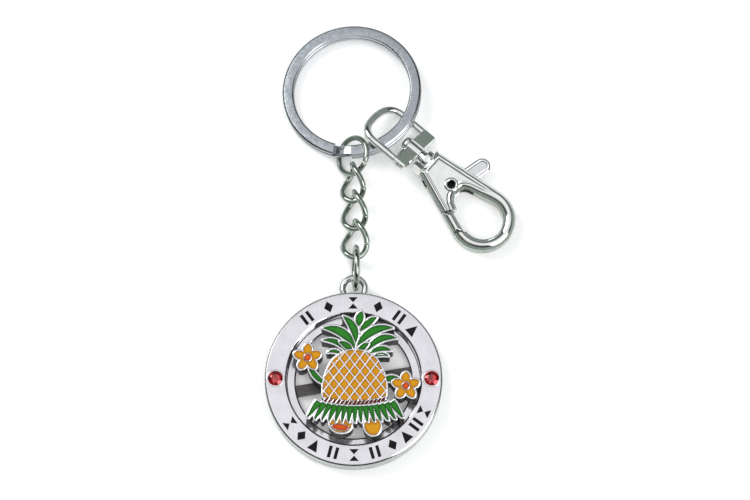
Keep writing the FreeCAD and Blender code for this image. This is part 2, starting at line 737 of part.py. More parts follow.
def emblem():
    """The casting with its stud, and one enamel piece for each colour area."""
    cells, pieces = emblem_cells()
    low, waist, top = (float(dims.emblem_low), float(dims.emblem_waist), float(dims.emblem_top))
    floor = top - float(dims.enamel_depth)
    plate_solids = raised(pieces, waist, top)
    plate = plate_solids[0].multiFuse(plate_solids[1:]).removeSplitter()
    core_solids = raised(pieces, low, waist)
    core = core_solids[0].multiFuse(core_solids[1:])
    limit = Part.makeCylinder(float(dims.emblem_core_rad), waist - low, Vector(0, 0, low))
    stud_low = float(dims.retainer_low)
    stud = Part.makeCylinder(float(dims.stud_rad), low - stud_low + 0.2, Vector(0, 0, stud_low))
    recess_tools = raised([f for faces in cells.values() for f in faces], floor, top + 0.5)
    shape = plate.fuse(core.common(limit)).fuse(stud).cut(recess_tools).removeSplitter()
    casting = doc.addObject("Part::Feature", "emblem_casting")
    casting.Label = "emblem_casting"
    casting.Shape = shape.Solids[0]
    place(casting)
    made = [casting]
    for label, faces in cells.items():
        fill = doc.addObject("Part::Feature", label)
        fill.Label = label
        solids = raised(faces, floor, floor + float(dims.enamel_thick))
        fill.Shape = Part.makeCompound(solids)
        place(fill)
        made.append(fill)
    return made


# ---------------------------------------------------------------- snap hook

CLASP_AT = Vector(16.48, 52.2, 3.7)
CLASP_TURN = -40.6         # its swivel axis against +X
CLASP_DIP = 3.0            # the hook end is lower than the swivel end
EYE_ROLL = -28.0           # the loop's left leg lies over the split ring
HOOK_CENTRE = Vector(19.2, -2.5, 0)
OPENING_CENTRE = Vector(19.3, -2.6, 0)
THROAT_CENTRE = Vector(13.4, -1.8, 0)
SHOULDER_RIGHT = Vector(1.0, 2.9, 0)
SHOULDER_LEFT = Vector(1.0, -3.7, 0)
# The gate meets the hook along a slanting joint, then ends in an arc about the pivot.
GATE_JOINT_OUTSIDE = Vector(10.4, -8.6, 0)
GATE_JOINT_INSIDE = Vector(13.5, -4.6, 0)
GATE_ARC = (-29.0, -40.0, -52.0)
GATE_SKIN = 0.05           # the gate's outer side lies this far under the hook's outline
GATE_WALL = 2.3            # and its inner side this far
TAB_ROOT = Vector(9.6, 1.6, 0)
TAB_END = Vector(11.0, 7.4, 0)
TAB_LEAN = Vector(0.24, 0.97, 0)


def clasp_placement(roll=0.0):
    turned = Rotation(Z_AXIS, CLASP_TURN).multiply(Rotation(Y_AXIS, CLASP_DIP))
    return Placement(CLASP_AT, turned.multiply(Rotation(X_AXIS, roll)))


def tangent_point(point, centre, rad, side):
    """Where a line from a point touches a circle; side is +1 or -1."""
    to_centre = centre - point
    reach = math.sqrt(to_centre.Length ** 2 - rad ** 2)
    angle = math.atan2(to_centre.y, to_centre.x) + side * math.asin(rad / to_centre.Length)
    return point + Vector(math.cos(angle), math.sin(angle), 0) * reach


def belt_points(first, first_rad, second, second_rad, side):
    """The ends of the outer tangent line of two circles."""
    gap = second - first
    normal = math.atan2(gap.y, gap.x) + side * math.acos((first_rad - second_rad) / gap.Length)
    out = Vector(math.cos(normal), math.sin(normal), 0)
    return first + out * first_rad, second + out * second_rad


def arc_through(centre, rad, start, stop, towards):
    """An arc of a circle from start to stop that passes on the side of a given point."""
    return Part.Arc(start, centre + (towards - centre).normalize() * rad, stop)


def hook_outline():
    rad = float(dims.hook_outer_rad)
    right = tangent_point(SHOULDER_RIGHT, HOOK_CENTRE, rad, 1)
    left = tangent_point(SHOULDER_LEFT, HOOK_CENTRE, rad, -1)
    tip = HOOK_CENTRE + Vector(rad, 0, 0)
    return [Part.LineSegment(SHOULDER_LEFT, left),
            arc_through(HOOK_CENTRE, rad, left, right, tip),
            Part.LineSegment(right, SHOULDER_RIGHT),
            Part.LineSegment(SHOULDER_RIGHT, SHOULDER_LEFT)]


def opening_outline():
    big, small = float(dims.hook_inner_rad), float(dims.throat_rad)
    upper_small, upper_big = belt_points(THROAT_CENTRE, small, OPENING_CENTRE, big, 1)
    lower_small, lower_big = belt_points(THROAT_CENTRE, small, OPENING_CENTRE, big, -1)
    return [Part.LineSegment(upper_small, upper_big),
            arc_through(OPENING_CENTRE, big, upper_big, lower_big, OPENING_CENTRE + X_AXIS),
            Part.LineSegment(lower_big, lower_small),
            arc_through(THROAT_CENTRE, small, lower_small, upper_small, THROAT_CENTRE - X_AXIS)]


def pin_place():
    return Vector(float(dims.pin_x), float(dims.pin_y), 0)


def gate_sector(reach):
    """The gate's region: from the body's joint line to an arc about the pivot."""
    pin = (float(dims.pin_x), float(dims.pin_y))
    arc_in, mid, arc_out = [polar(reach, degrees, pin) for degrees in GATE_ARC]
    return [Part.LineSegment(GATE_JOINT_OUTSIDE, GATE_JOINT_INSIDE),
            Part.LineSegment(GATE_JOINT_INSIDE, arc_in),
            Part.Arc(arc_in, mid, arc_out), Part.LineSegment(arc_out, GATE_JOINT_OUTSIDE)]


def hook_body():
    part = body("hook_body")
    plate = sketch(part, "HookOutline", "XY_Plane")
    outline(plate, hook_outline())
    slab = pad(part, plate, "HookPlate", dims.hook_half_thick * 2, midplane=True)
    bevel = part.newObject("PartDesign::Chamfer", "HookBevel")
    bevel.Base = (slab, ["Face%d" % (i + 1) for i, face in enumerate(slab.Shape.Faces)
                         if abs(abs(face.normalAt(0, 0).z) - 1) < 1e-6])
    bind(bevel, "Size", dims.hook_bevel)
    doc.recompute()
    opening = sketch(part, "OpeningOutline", "XY_Plane")
    outline(opening, opening_outline())
    pocket(part, opening, "Opening", dims.hook_half_thick * 2 + 2, midplane=True)
    gate = sketch(part, "GateRegion", "XY_Plane")
    outline(gate, gate_sector(float(dims.gate_reach + dims.gate_gap)))
    pocket(part, gate, "GateGap", dims.hook_half_thick * 2 + 2, midplane=True)
    slot = sketch(part, "LeverSlot", "XY_Plane")
    polygon(slot, [(dims.slot_start, -12), (dims.slot_end, -12), (dims.slot_end, 8),
                   (dims.slot_start, 8)])
    pocket(part, slot, "LeverSlotCut", dims.slot_half * 2, midplane=True)
    hole = sketch(part, "RivetHole", "XY_Plane")
    circle(hole, dims.pin_x, dims.pin_y, dims.rivet_hole_rad)
    pocket(part, hole, "RivetHoleCut", dims.hook_half_thick * 2 + 2, midplane=True)
    stem = sketch(part, "StemSection", "XY_Plane")
    polygon(stem, stem_section())
    revolution(part, stem, "Stem", "H_Axis", 360.0)
    place(part, clasp_placement())
    return part


def stem_section():
    """Half section of the collar, the stem and its peened head, as place and radius."""
    start = dims.collar_length
    low, high, gap = dims.bar_low_x, dims.bar_high_x, dims.collar_gap
    zero = dims.stem_rad * 0
    collar = dims.collar_rad
    return [(start, zero), (start, collar), (start * 0.25, collar), (high + gap, dims.stem_rad * 1.6),
            (high + gap * 0.3, dims.stem_rad * 1.6), (high + gap * 0.3, dims.stem_rad),
            (low - 0.12, dims.stem_rad), (low - 0.12, dims.peen_rad),
            (low - 0.5, dims.peen_rad), (low - dims.peen_thick, dims.peen_rad * 0.6),
            (low - dims.peen_thick, zero)]


def swivel_eye():
    part = body("swivel_eye")
    wide, rad, corner = (float(dims.eye_half_width), float(dims.eye_wire_rad),
                         float(dims.eye_corner_rad))
    top, corner_x = float(dims.eye_top), float(dims.eye_corner_x)
    foot_x = float(dims.bar_high_x) - 0.1
    corner_y = wide - corner
    # The top arc's radius makes it tangent to both corner arcs.
    rise = corner_x - top
    crown = (rise ** 2 - corner ** 2 + corner_y ** 2) / (2 * (rise - corner))
    crown_x = top + crown
    path = sketch(part, "LoopPath", "XY_Plane")
    joins = {}
    for side in (1, -1):
        centre = Vector(corner_x, side * corner_y, 0)
        away = (centre - Vector(crown_x, 0, 0)).normalize()
        joins[side] = (Vector(corner_x, side * wide, 0), centre, centre + away * corner)
    first, first_centre, first_join = joins[1]
    last, last_centre, last_join = joins[-1]
    outline(path, [
        Part.LineSegment(Vector(foot_x, wide, 0), first),
        arc_through(first_centre, corner, first, first_join, first_centre + Vector(-0.6, 0.8, 0)),
        Part.Arc(first_join, Vector(top, 0, 0), last_join),
        arc_through(last_centre, corner, last_join, last, last_centre + Vector(-0.6, -0.8, 0)),
        Part.LineSegment(last, Vector(foot_x, -wide, 0))])
    turn = Placement(Vector(0, 0, foot_x), Rotation())
    section = sketch(part, "WireSection", "YZ_Plane", turn)
    circle(section, dims.eye_half_width, 0, dims.eye_wire_rad)
    doc.recompute()
    loop = part.newObject("PartDesign::AdditivePipe", "Loop")
    loop.Profile = section
    loop.Spine = (path, ["Edge%d" % (i + 1) for i in range(5)])
    doc.recompute()
    cross = sketch(part, "CrossBar", "XY_Plane")
    low, high = dims.bar_low_x, dims.bar_high_x
    end = dims.eye_half_width + 0.1
    polygon(cross, [(low, -end), (high, -end), (high, end), (low, end)])
    pad(part, cross, "CrossBarPad", dims.bar_half_thick * 2, midplane=True)
    barrel = sketch(part, "BarrelSection", "YZ_Plane", Placement(Vector(0, 0, float(low)), Rotation()))
    circle(barrel, 0, 0, dims.barrel_rad)
    pad(part, barrel, "Barrel", high - low)
    bore = sketch(part, "BoreSection", "YZ_Plane",
                  Placement(Vector(0, 0, float(high) + 1), Rotation()))
    circle(bore, 0, 0, dims.eye_bore_rad)
    pocket(part, bore, "Bore", high - low + 2)
    place(part, clasp_placement(EYE_ROLL))
    return part


def hook_lever():
    """Thumb tab, hub and gate: the tab and arm are flat, the gate fills the hook's gap."""
    part = body("hook_lever")
    pin = pin_place()
    rad = float(dims.lever_hub_rad)
    flat_low = dims.lever_low
    arm = sketch(part, "ArmOutline", "XY_Plane", lift(flat_low))
    bind(arm, "AttachmentOffset.Base.z", flat_low)
    circle(arm, dims.pin_x, dims.pin_y, dims.lever_hub_rad)
    pad(part, arm, "Hub", dims.lever_thick)
    wall_left = tangent_point(SHOULDER_LEFT, HOOK_CENTRE, float(dims.hook_outer_rad), -1)
    wall = (wall_left - SHOULDER_LEFT).normalize()
    inward = Vector(-wall.y, wall.x, 0)

    def on_wall(distance, depth):
        return SHOULDER_LEFT + wall * distance + inward * depth

    gate_arm = sketch(part, "GateArm", "XY_Plane", lift(flat_low))
    bind(gate_arm, "AttachmentOffset.Base.z", flat_low)
    corners = [on_wall(3.8, 0.02), on_wall(12.2, 0.02), on_wall(12.2, 2.0),
               pin + Vector(rad * 0.8, -rad * 0.5, 0), pin + Vector(-rad * 0.8, -rad * 0.2, 0)]
    outline(gate_arm, [Part.LineSegment(a, b) for a, b in zip(corners, corners[1:] + corners[:1])])
    pad(part, gate_arm, "GateArmPad", dims.lever_thick)
    tab = sketch(part, "TabOutline", "XY_Plane", lift(flat_low))
    bind(tab, "AttachmentOffset.Base.z", flat_low)
    half = float(dims.tab_half_width)
    lean = Vector(TAB_LEAN).normalize()
    cross = Vector(lean.y, -lean.x, 0)
    end, root = TAB_END, TAB_ROOT
    corners = [root + cross * -half, end + cross * -half, end + cross * half, root + cross * half]
    outline(tab, [Part.LineSegment(corners[0], corners[1]),
                  Part.Arc(corners[1], end + lean * half, corners[2]),
                  Part.LineSegment(corners[2], corners[3]),
                  Part.LineSegment(corners[3], corners[0])])
    pad(part, tab, "Tab", dims.lever_thick)
    neck = sketch(part, "NeckOutline", "XY_Plane", lift(flat_low))
    bind(neck, "AttachmentOffset.Base.z", flat_low)
    corners = [pin + Vector(-1.7, 0, 0), root + cross * -half, root + cross * half * 0.9,
               pin + Vector(1.7, 0.4, 0)]
    outline(neck, [Part.LineSegment(a, b) for a, b in zip(corners, corners[1:] + corners[:1])])
    pad(part, neck, "Neck", dims.lever_thick)
    gate = sketch(part, "GateOutline", "XY_Plane")
    reach = float(dims.gate_reach)
    shift = Vector(1, -0.6, 0).normalize() * float(dims.gate_gap)
    joint_out = GATE_JOINT_OUTSIDE + shift
    joint_in = GATE_JOINT_INSIDE + shift
    root_out, root_in = [line_cross(joint_out, joint_in, on_wall(0, depth), on_wall(30, depth))
                         for depth in (GATE_SKIN, GATE_WALL)]
    tip_out, tip_in = [circle_cross(pin, reach, on_wall(0, depth), wall)
                       for depth in (GATE_SKIN, GATE_WALL)]
    bend = pin + ((tip_out + tip_in) * 0.5 - pin).normalize() * reach
    outline(gate, [Part.LineSegment(root_out, tip_out), Part.Arc(tip_out, bend, tip_in),
                   Part.LineSegment(tip_in, root_in), Part.LineSegment(root_in, root_out)])
    pad(part, gate, "Gate", dims.gate_half_thick * 2, midplane=True)
    hole = sketch(part, "PivotHole", "XY_Plane")
    circle(hole, dims.pin_x, dims.pin_y, dims.lever_hole_rad)
    pocket(part, hole, "PivotHoleCut", dims.hook_half_thick * 2 + 2, midplane=True)
    place(part, clasp_placement())
    return part


def line_cross(a, b, c, d):
    """Where two lines of the XY plane meet."""
    along, other = b - a, d - c
    share = ((c - a).x * other.y - (c - a).y * other.x) / (along.x * other.y - along.y * other.x)
    return a + along * share


def circle_cross(centre, rad, start, direction):
    """Where a ray leaves a circle."""
    offset = start - centre
    half = offset.dot(direction)
    reach = -half + math.sqrt(half ** 2 - offset.Length ** 2 + rad ** 2)
    return start + direction * reach


def hook_rivet():
    part = body("hook_rivet")
    section = sketch(part, "RivetSection", "XZ_Plane")
    half = dims.hook_half_thick
    zero = half * 0
    rim, rad, bore = dims.rivet_rim, dims.rivet_rad, dims.rivet_bore_rad
    polygon(section, [(zero, -half - rim), (dims.rivet_rim_rad, -half - rim),
                      (dims.rivet_rim_rad, -half), (rad, -half), (rad, half),
                      (dims.rivet_rim_rad, half), (dims.rivet_rim_rad, half + rim),
                      (bore, half + rim), (bore, half - dims.rivet_bore_depth),
                      (zero, half - dims.rivet_bore_depth)])
    revolution(part, section, "Rivet", "V_Axis", 360.0)
    place(part, clasp_placement().multiply(Placement(pin_place(), Rotation())))
    return part


def lever_spring():
    """A torsion spring round the rivet: one leg on the body, one on the lever."""
    coil = doc.addObject("Part::Helix", "lever_spring_helix")
    bind(coil, "Radius", dims.spring_rad)
    bind(coil, "Pitch", dims.spring_pitch)
    bind(coil, "Height", dims.spring_height)
    section = doc.addObject("Part::Circle", "lever_spring_section")
    bind(section, "Radius", dims.spring_wire_rad)
    section.Placement = Placement(Vector(float(dims.spring_rad), 0, 0), Rotation(X_AXIS, 90.0))
    doc.recompute()
    turns = doc.addObject("Part::Sweep", "lever_spring_turns")
    turns.Sections = [section]
    turns.Spine = (coil, ["Edge1"])
    turns.Solid = True
    turns.Frenet = True
    line = coil.Shape.Edges[0]
    far = line.tangentAt(line.LastParameter)
    legs = []
    for name, at, ahead in (
            ("lever_spring_near", line.valueAt(line.FirstParameter), -Y_AXIS),
            ("lever_spring_far", line.valueAt(line.LastParameter), Vector(far.x, far.y, 0))):
        leg = doc.addObject("Part::Cylinder", name)
        bind(leg, "Radius", dims.spring_wire_rad)
        bind(leg, "Height", dims.spring_leg)
        leg.Placement = Placement(at, Rotation(Z_AXIS, ahead))
        legs.append(leg)
    spring = doc.addObject("Part::MultiFuse", "lever_spring")
    spring.Label = "lever_spring"
    spring.Shapes = [turns] + legs
    local = Placement(pin_place() + Vector(0, 0, float(dims.spring_low)), Rotation(Z_AXIS, 200.0))
    place(spring, clasp_placement().multiply(local))
    return spring


# ---------------------------------------------------------------- build and write

def build():
    made = [split_ring(), upper_ring()]
    made += [chain_link(*link) for link in LINKS]
    made += [lower_ring(), medallion_frame()]
    made += [mark_enamel("upper_mark_enamel", UPPER_MARKS, True),
             mark_enamel("lower_mark_enamel", LOWER_MARKS, False)]
    made += [rhinestone(label, x, y)
             for label, (x, y) in zip(("rhinestone_left", "rhinestone_right"), STONE_AT)]
    made += [spinner_bar(), spinner_retainer()]
    made += emblem()
    made += [swivel_eye(), hook_body(), hook_lever(), hook_rivet(), lever_spring()]
    return made


parts = build()
doc.recompute()
for item in doc.Objects:
    if "Invalid" in item.State or "Error" in item.State:
        raise RuntimeError("%s failed: %s" % (item.Label, item.State))
os.makedirs("parts", exist_ok=True)
for item in parts:
    shape = item.Shape
    if shape.isNull() or not shape.isValid():
        raise RuntimeError("%s has no valid shape" % item.Label)
    print("%-20s %2d solids  %9.2f mm3" % (item.Label, len(shape.Solids), shape.Volume))
for item in parts:
    item.Shape.exportStep("parts/%s.step" % item.Label)
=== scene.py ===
import itertools
import math

import bmesh
import bpy
import numpy as np
from mathutils import Matrix, Vector


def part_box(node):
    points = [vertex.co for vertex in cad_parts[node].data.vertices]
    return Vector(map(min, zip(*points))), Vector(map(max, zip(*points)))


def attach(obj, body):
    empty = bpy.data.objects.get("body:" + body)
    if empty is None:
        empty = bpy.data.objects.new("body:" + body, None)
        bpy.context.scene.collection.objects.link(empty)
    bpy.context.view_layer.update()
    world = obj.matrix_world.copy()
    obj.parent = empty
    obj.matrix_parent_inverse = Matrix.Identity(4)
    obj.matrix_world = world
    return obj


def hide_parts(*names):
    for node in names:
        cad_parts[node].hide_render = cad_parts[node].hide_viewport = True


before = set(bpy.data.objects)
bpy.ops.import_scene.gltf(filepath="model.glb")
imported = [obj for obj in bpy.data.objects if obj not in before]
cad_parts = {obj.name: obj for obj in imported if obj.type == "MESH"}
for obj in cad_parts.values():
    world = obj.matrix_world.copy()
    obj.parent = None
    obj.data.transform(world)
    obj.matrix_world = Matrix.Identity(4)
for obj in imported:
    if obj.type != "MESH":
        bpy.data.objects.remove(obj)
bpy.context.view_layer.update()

MM = 0.001
RIM_LOW, RIM_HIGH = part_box("medallion_frame")
RIM_RAD = (RIM_HIGH.x - RIM_LOW.x) / 2 / MM
# All shapes below are written in millimetres from the middle of the medallion's back.
MIDDLE = Vector(((RIM_LOW.x + RIM_HIGH.x) / 2, RIM_LOW.y + RIM_RAD * MM, 0.0))
FACE = 5.0                 # height of the medallion's face
UP = Vector((0, 0, 1))
ON_AXIS = 1e-6             # a turned section's points nearer than this lie on its axis
FLANK = 0.70               # a face whose slope is steeper than this cosine is a flank


# ---------------- meshes

def circle_point(radius, turn, centre=(0.0, 0.0)):
    return centre[0] + radius * math.cos(turn), centre[1] + radius * math.sin(turn)


def polar(radius, degrees, centre=(0.0, 0.0)):
    return circle_point(radius, math.radians(degrees), centre)


def turned(points, turn, at):
    """Flat points turned by an angle in radians, then moved."""
    cosine, sine = math.cos(turn), math.sin(turn)
    return [(at[0] + x * cosine - y * sine, at[1] + x * sine + y * cosine) for x, y in points]


def turn_about(axis, degrees):
    return Matrix.Rotation(math.radians(degrees), 4, axis)


def smooth(mesh, smooth_angle):
    mesh.shade_smooth()
    mesh.set_sharp_from_angle(angle=math.radians(smooth_angle))


def new_piece(name, verts, faces, matrix=None, smooth_angle=30.0):
    """A mesh object from millimetre vertices, placed by a millimetre matrix."""
    points = np.asarray(verts, float)
    if matrix is not None:
        points = points @ np.array(matrix.to_3x3()).T + np.array(matrix.translation)
    points = points * MM + np.array(MIDDLE)
    mesh = bpy.data.meshes.new(name)
    mesh.from_pydata(points.tolist(), [], faces)
    mesh.validate()
    smooth(mesh, smooth_angle)
    piece = bpy.data.objects.new(name, mesh)
    bpy.context.scene.collection.objects.link(piece)
    return piece


def finish_piece(piece, body, nodes, slot, *materials):
    """Makes a piece ride on its body, stand for its CAD nodes and take its materials."""
    for material in materials:
        piece.data.materials.append(material)
    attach(piece, body)
    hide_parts(*nodes)


def boolean(piece, tools, operation, smooth_angle=30.0):
    """Applies exact booleans, then drops the tools and the slots that they brought."""
    for tool in tools:
        modifier = piece.modifiers.new(operation, "BOOLEAN")
        modifier.operation = operation
        modifier.solver = "EXACT"
        modifier.object = tool
    graph = bpy.context.evaluated_depsgraph_get()
    mesh = bpy.data.meshes.new_from_object(piece.evaluated_get(graph))
    piece.modifiers.clear()
    piece.data = mesh
    for tool in tools:
        bpy.data.objects.remove(tool)
    mesh.materials.clear()
    smooth(mesh, smooth_angle)


def revolve(name, profile, matrix=None, segments=192, smooth_angle=30.0):
    """A closed section of (radius, height) points turned about Z."""
    verts, rings = [], []
    for radius, height in profile:
        if radius < ON_AXIS:
            rings.append([len(verts)])
            verts.append((0, 0, height))
            continue
        rings.append(list(range(len(verts), len(verts) + segments)))
        verts += [(*circle_point(radius, 2 * math.pi * i / segments), height)
                  for i in range(segments)]
    faces = []
    for ring, after in zip(rings, rings[1:] + rings[:1]):
        if len(ring) == 1 and len(after) == 1:
            continue
        for i in range(segments):
            j = (i + 1) % segments
            if len(ring) == 1:
                faces.append((ring[0], after[j], after[i]))
            elif len(after) == 1:
                faces.append((ring[i], ring[j], after[0]))
            else:
                faces.append((ring[i], ring[j], after[j], after[i]))
    return new_piece(name, verts, faces, matrix, smooth_angle)


def rounded_loop(corners, radius, steps=4):
    """A closed outline of points with each corner rounded by an arc; radius may be a list."""
    points = []
    count = len(corners)
    for i, corner in enumerate(corners):
        here = Vector(corner)
        before = Vector(corners[i - 1]) - here
        after = Vector(corners[(i + 1) % count]) - here
        bend = radius[i] if isinstance(radius, (list, tuple)) else radius
        if bend <= 0:
            points.append(tuple(here))
            continue
        half = before.angle(after) / 2
        cut = min(bend / math.tan(half), 0.49 * before.length, 0.49 * after.length)
        bend = cut * math.tan(half)
        halfway = (before.normalized() + after.normalized()).normalized()
        middle = here + halfway * (bend / math.sin(half))
        start = here + before.normalized() * cut - middle
        stop = here + after.normalized() * cut - middle
        turn = start.angle_signed(stop)
        for k in range(steps + 1):
            points += turned([start], -turn * k / steps, middle)
    return points


def tube_faces(rows, around):
    """Quads between rows of points, each row a closed loop, and a cap at each end."""
    faces = []
    for low in range(0, (rows - 1) * around, around):
        for k in range(around):
            n = (k + 1) % around
            faces.append((low + k, low + n, low + around + n, low + around + k))
    faces.append(tuple(range(around))[::-1])
    faces.append(tuple((rows - 1) * around + k for k in range(around)))
    return faces


def directions(path):
    """The unit direction of an open path at each of its points."""
    ahead = np.gradient(path, axis=0)
    return ahead / np.linalg.norm(ahead, axis=1)[:, None]


def sweep(name, path, section, ups, matrix=None, smooth_angle=40.0):
    """A closed section (across, up) carried along an open path; ups gives each point's up."""
    path = np.asarray(path, float)
    ups = np.asarray(ups, float)
    section = np.asarray(section, float)
    ahead = directions(path)
    across = np.cross(ahead, ups)
    across /= np.linalg.norm(across, axis=1)[:, None]
    ups = np.cross(across, ahead)
    verts = (path[:, None, :] + section[None, :, 0:1] * across[:, None, :]
             + section[None, :, 1:2] * ups[:, None, :]).reshape(-1, 3)
    return new_piece(name, verts, tube_faces(len(path), len(section)), matrix, smooth_angle)


WIRE_SIDE = (0.3, 0.2, 0.93)       # any direction that no wire starts along
# A wire's rounded end: share of the rounding along the wire, share of its radius.
WIRE_END = ((0.0, 0.72), (0.12, 0.86), (0.35, 0.95), (1.0, 1.0))


def wire(name, path, radius, matrix=None, sides=28):
    """A round wire along an open path, its ends a little rounded."""
    path = np.asarray(path, float)
    ahead = directions(path)
    up = np.cross(ahead[0], WIRE_SIDE)
    ups = []
    for direction in ahead:
        up = up - direction * np.dot(up, direction)
        up /= np.linalg.norm(up)
        ups.append(up)
    ups = np.array(ups)
    across = np.cross(ahead, ups)
    rounding = radius * 0.25
    clear, half = rounding * 1.2, len(path) // 2
    centres = [(path[0] + ahead[0] * rounding * shift, ups[0], across[0], size)
               for shift, size in WIRE_END]
    for i in range(1, len(path) - 1):
        if ((np.linalg.norm(path[i] - path[0]) > clear or i > half)
                and (np.linalg.norm(path[i] - path[-1]) > clear or i < half)):
            centres.append((path[i], ups[i], across[i], 1.0))
    centres += [(path[-1] - ahead[-1] * rounding * shift, ups[-1], across[-1], size)
                for shift, size in reversed(WIRE_END)]
    angles = 2 * np.pi * np.arange(sides) / sides
    verts = [centre + radius * size * (math.cos(angle) * a + math.sin(angle) * u)
             for centre, u, a, size in centres for angle in angles]
    return new_piece(name, verts, tube_faces(len(centres), sides), matrix, 40.0)


def shade_painted_flanks(piece, up, beyond=0.0):
    """Gives a casting's steep outer sides its second material, a darker copy of its plating:
    painted shade on those sides.
    """
    steep = [int(abs(face.normal.dot(up)) < FLANK
                 and ((face.center - MIDDLE) / MM).to_2d().length > beyond)
             for face in piece.data.polygons]
    piece.data.polygons.foreach_set("material_index", steep)


# ---------------- flat shapes as distance fields

class Grid:
    """A square grid of points and signed distances (negative inside) measured on it."""

    def __init__(self, low, high, step):
        self.xs = np.arange(low[0], high[0] + step, step)
        self.ys = np.arange(low[1], high[1] + step, step)
        self.step = step
        self.x, self.y = np.meshgrid(self.xs, self.ys)

    def circle(self, centre, radius):
        return np.hypot(self.x - centre[0], self.y - centre[1]) - radius

    def polygon(self, points, margin=1.2):
        """Distance to a closed polygon, exact within the margin."""
        points = np.asarray(points, float)
        low, high = points.min(0) - margin, points.max(0) + margin
        columns = np.flatnonzero((self.xs >= low[0]) & (self.xs <= high[0]))
        rows = np.flatnonzero((self.ys >= low[1]) & (self.ys <= high[1]))
        field = np.full(self.x.shape, margin)
        if not len(columns) or not len(rows):
            return field
        window = np.ix_(rows, columns)
        px, py = self.x[window].ravel(), self.y[window].ravel()
        best = np.full(px.shape, 1e9)
        inside = np.zeros(px.shape, bool)
        for (ax, ay), (bx, by) in zip(points, np.roll(points, -1, axis=0)):
            dx, dy = bx - ax, by - ay
            share = np.clip(((px - ax) * dx + (py - ay) * dy) / (dx * dx + dy * dy + 1e-12), 0, 1)
            best = np.minimum(best, np.hypot(px - ax - share * dx, py - ay - share * dy))
            if ay != by:
                crosses = ((ay > py) != (by > py)) & (px < (bx - ax) * (py - ay) / (by - ay) + ax)
                inside ^= crosses
        field[window] = np.where(inside, -best, best).reshape(len(rows), len(columns))
        return field


    def flat(self, height):
        return np.full(self.x.shape, float(height))

    def halved(self):
        """The same grid with every other point."""
        half = Grid((0, 0), (0, 0), self.step * 2)
        half.xs, half.ys = self.xs[::2], self.ys[::2]
        half.x, half.y = self.x[::2, ::2], self.y[::2, ::2]
        return half


def joined(fields):
    return np.minimum.reduce(fields)


LEAST_SHARE = 0.04         # a cut comes no nearer than this share of a cell to a grid point


def clip_region(grid, field):
    """Triangles of the grid's cells where the field is negative, cut along its zero line."""
    rows, columns = field.shape
    flat = field.ravel()
    index = np.arange(rows * columns).reshape(rows, columns)
    a, b = index[:-1, :-1].ravel(), index[:-1, 1:].ravel()
    c, d = index[1:, 1:].ravel(), index[1:, :-1].ravel()
    flip = ((np.arange(rows - 1)[:, None] + np.arange(columns - 1)[None, :]) % 2 == 0).ravel()
    first = np.where(flip[:, None], np.c_[a, b, c], np.c_[a, b, d])
    second = np.where(flip[:, None], np.c_[a, c, d], np.c_[b, c, d])
    triangles = np.r_[first, second]
    state = (flat < 0)[triangles]
    count = state.sum(1)
    kept = triangles[count == 3]
    size = rows * columns
    crossings, corners = {}, []

    def crossing(p, q):
        key = (min(p, q), max(p, q))
        if key not in crossings:
            crossings[key] = size + len(corners)
            share = flat[key[0]] / (flat[key[0]] - flat[key[1]])
            corners.append((*key, min(max(share, LEAST_SHARE), 1 - LEAST_SHARE)))
        return crossings[key]

    extra, edges = [], []
    partly = (count == 1) | (count == 2)
    for triangle, marks in zip(triangles[partly].tolist(), state[partly].tolist()):
        alone = marks.index(sum(marks) == 1)
        p, q, r = triangle[alone], triangle[(alone + 1) % 3], triangle[(alone + 2) % 3]
        pq, pr = crossing(p, q), crossing(p, r)
        if sum(marks) == 1:
            extra.append((p, pq, pr))
            edges.append((pq, pr))
        else:
            extra.append((pq, q, r))
            extra.append((pq, r, pr))
            edges.append((pr, pq))
    tris = np.r_[kept, np.array(extra, int).reshape(-1, 3)]
    used, inverse = np.unique(tris, return_inverse=True)
    source = np.zeros((len(used), 2), int)
    share = np.zeros(len(used))
    corners = np.array(corners, float).reshape(-1, 3)
    plain = used < size
    source[plain] = used[plain][:, None]
    cut = corners[used[~plain] - size]
    source[~plain] = cut[:, :2].astype(int)
    share[~plain] = cut[:, 2]
    edges = np.searchsorted(used, edges)

    def sample(values):
        values = values.ravel()
        return values[source[:, 0]] * (1 - share) + values[source[:, 1]] * share

    return inverse.reshape(-1, 3), edges, sample


def relief(name, grid, field, top, bottom, matrix=None, walls=(), smooth_angle=35.0):
    """A closed solid over the field's inside: top and bottom are height fields.
    walls lists (outward shift, height) rows between them; only the top uses the first material."""
    tris, edges, sample = clip_region(grid, field)
    x, y = sample(grid.x), sample(grid.y)
    gy, gx = np.gradient(field, grid.step)
    nx, ny = sample(gx), sample(gy)
    size = np.hypot(nx, ny) + 1e-9
    nx, ny = nx / size, ny / size
    verts = [np.c_[x, y, sample(top)]]
    rim = np.unique(edges)
    base = len(x)
    rows = [rim]
    for shift, height in walls:
        level = np.full(len(rim), float(height))
        verts.append(np.c_[x[rim] + nx[rim] * shift, y[rim] + ny[rim] * shift, level])
        rows.append(np.arange(base, base + len(rim)))
        base += len(rim)
    low = np.c_[x, y, sample(bottom)]
    if walls:
        low[rim, 0] += nx[rim] * walls[-1][0]
        low[rim, 1] += ny[rim] * walls[-1][0]
    verts.append(low)
    rows.append(base + rim)
    first, second = np.searchsorted(rim, edges).T
    faces = tris.tolist()
    for upper, lower in zip(rows, rows[1:]):
        faces += np.c_[upper[second], upper[first], lower[first], lower[second]].tolist()
    faces += (tris[:, ::-1] + base).tolist()
    piece = new_piece(name, np.vstack(verts), faces, matrix, smooth_angle)
    slots = np.zeros(len(piece.data.polygons), int)
    slots[len(tris):] = 1
    piece.data.polygons.foreach_set("material_index", slots)
    return piece


# ---------------- materials

def set_stops(ramp, stops):
    elements = ramp.color_ramp.elements
    while len(elements) < len(stops):
        elements.new(0.5)
    for element, (position, colour) in zip(elements, stops):
        element.position = position
        element.color = (*colour, 1.0)


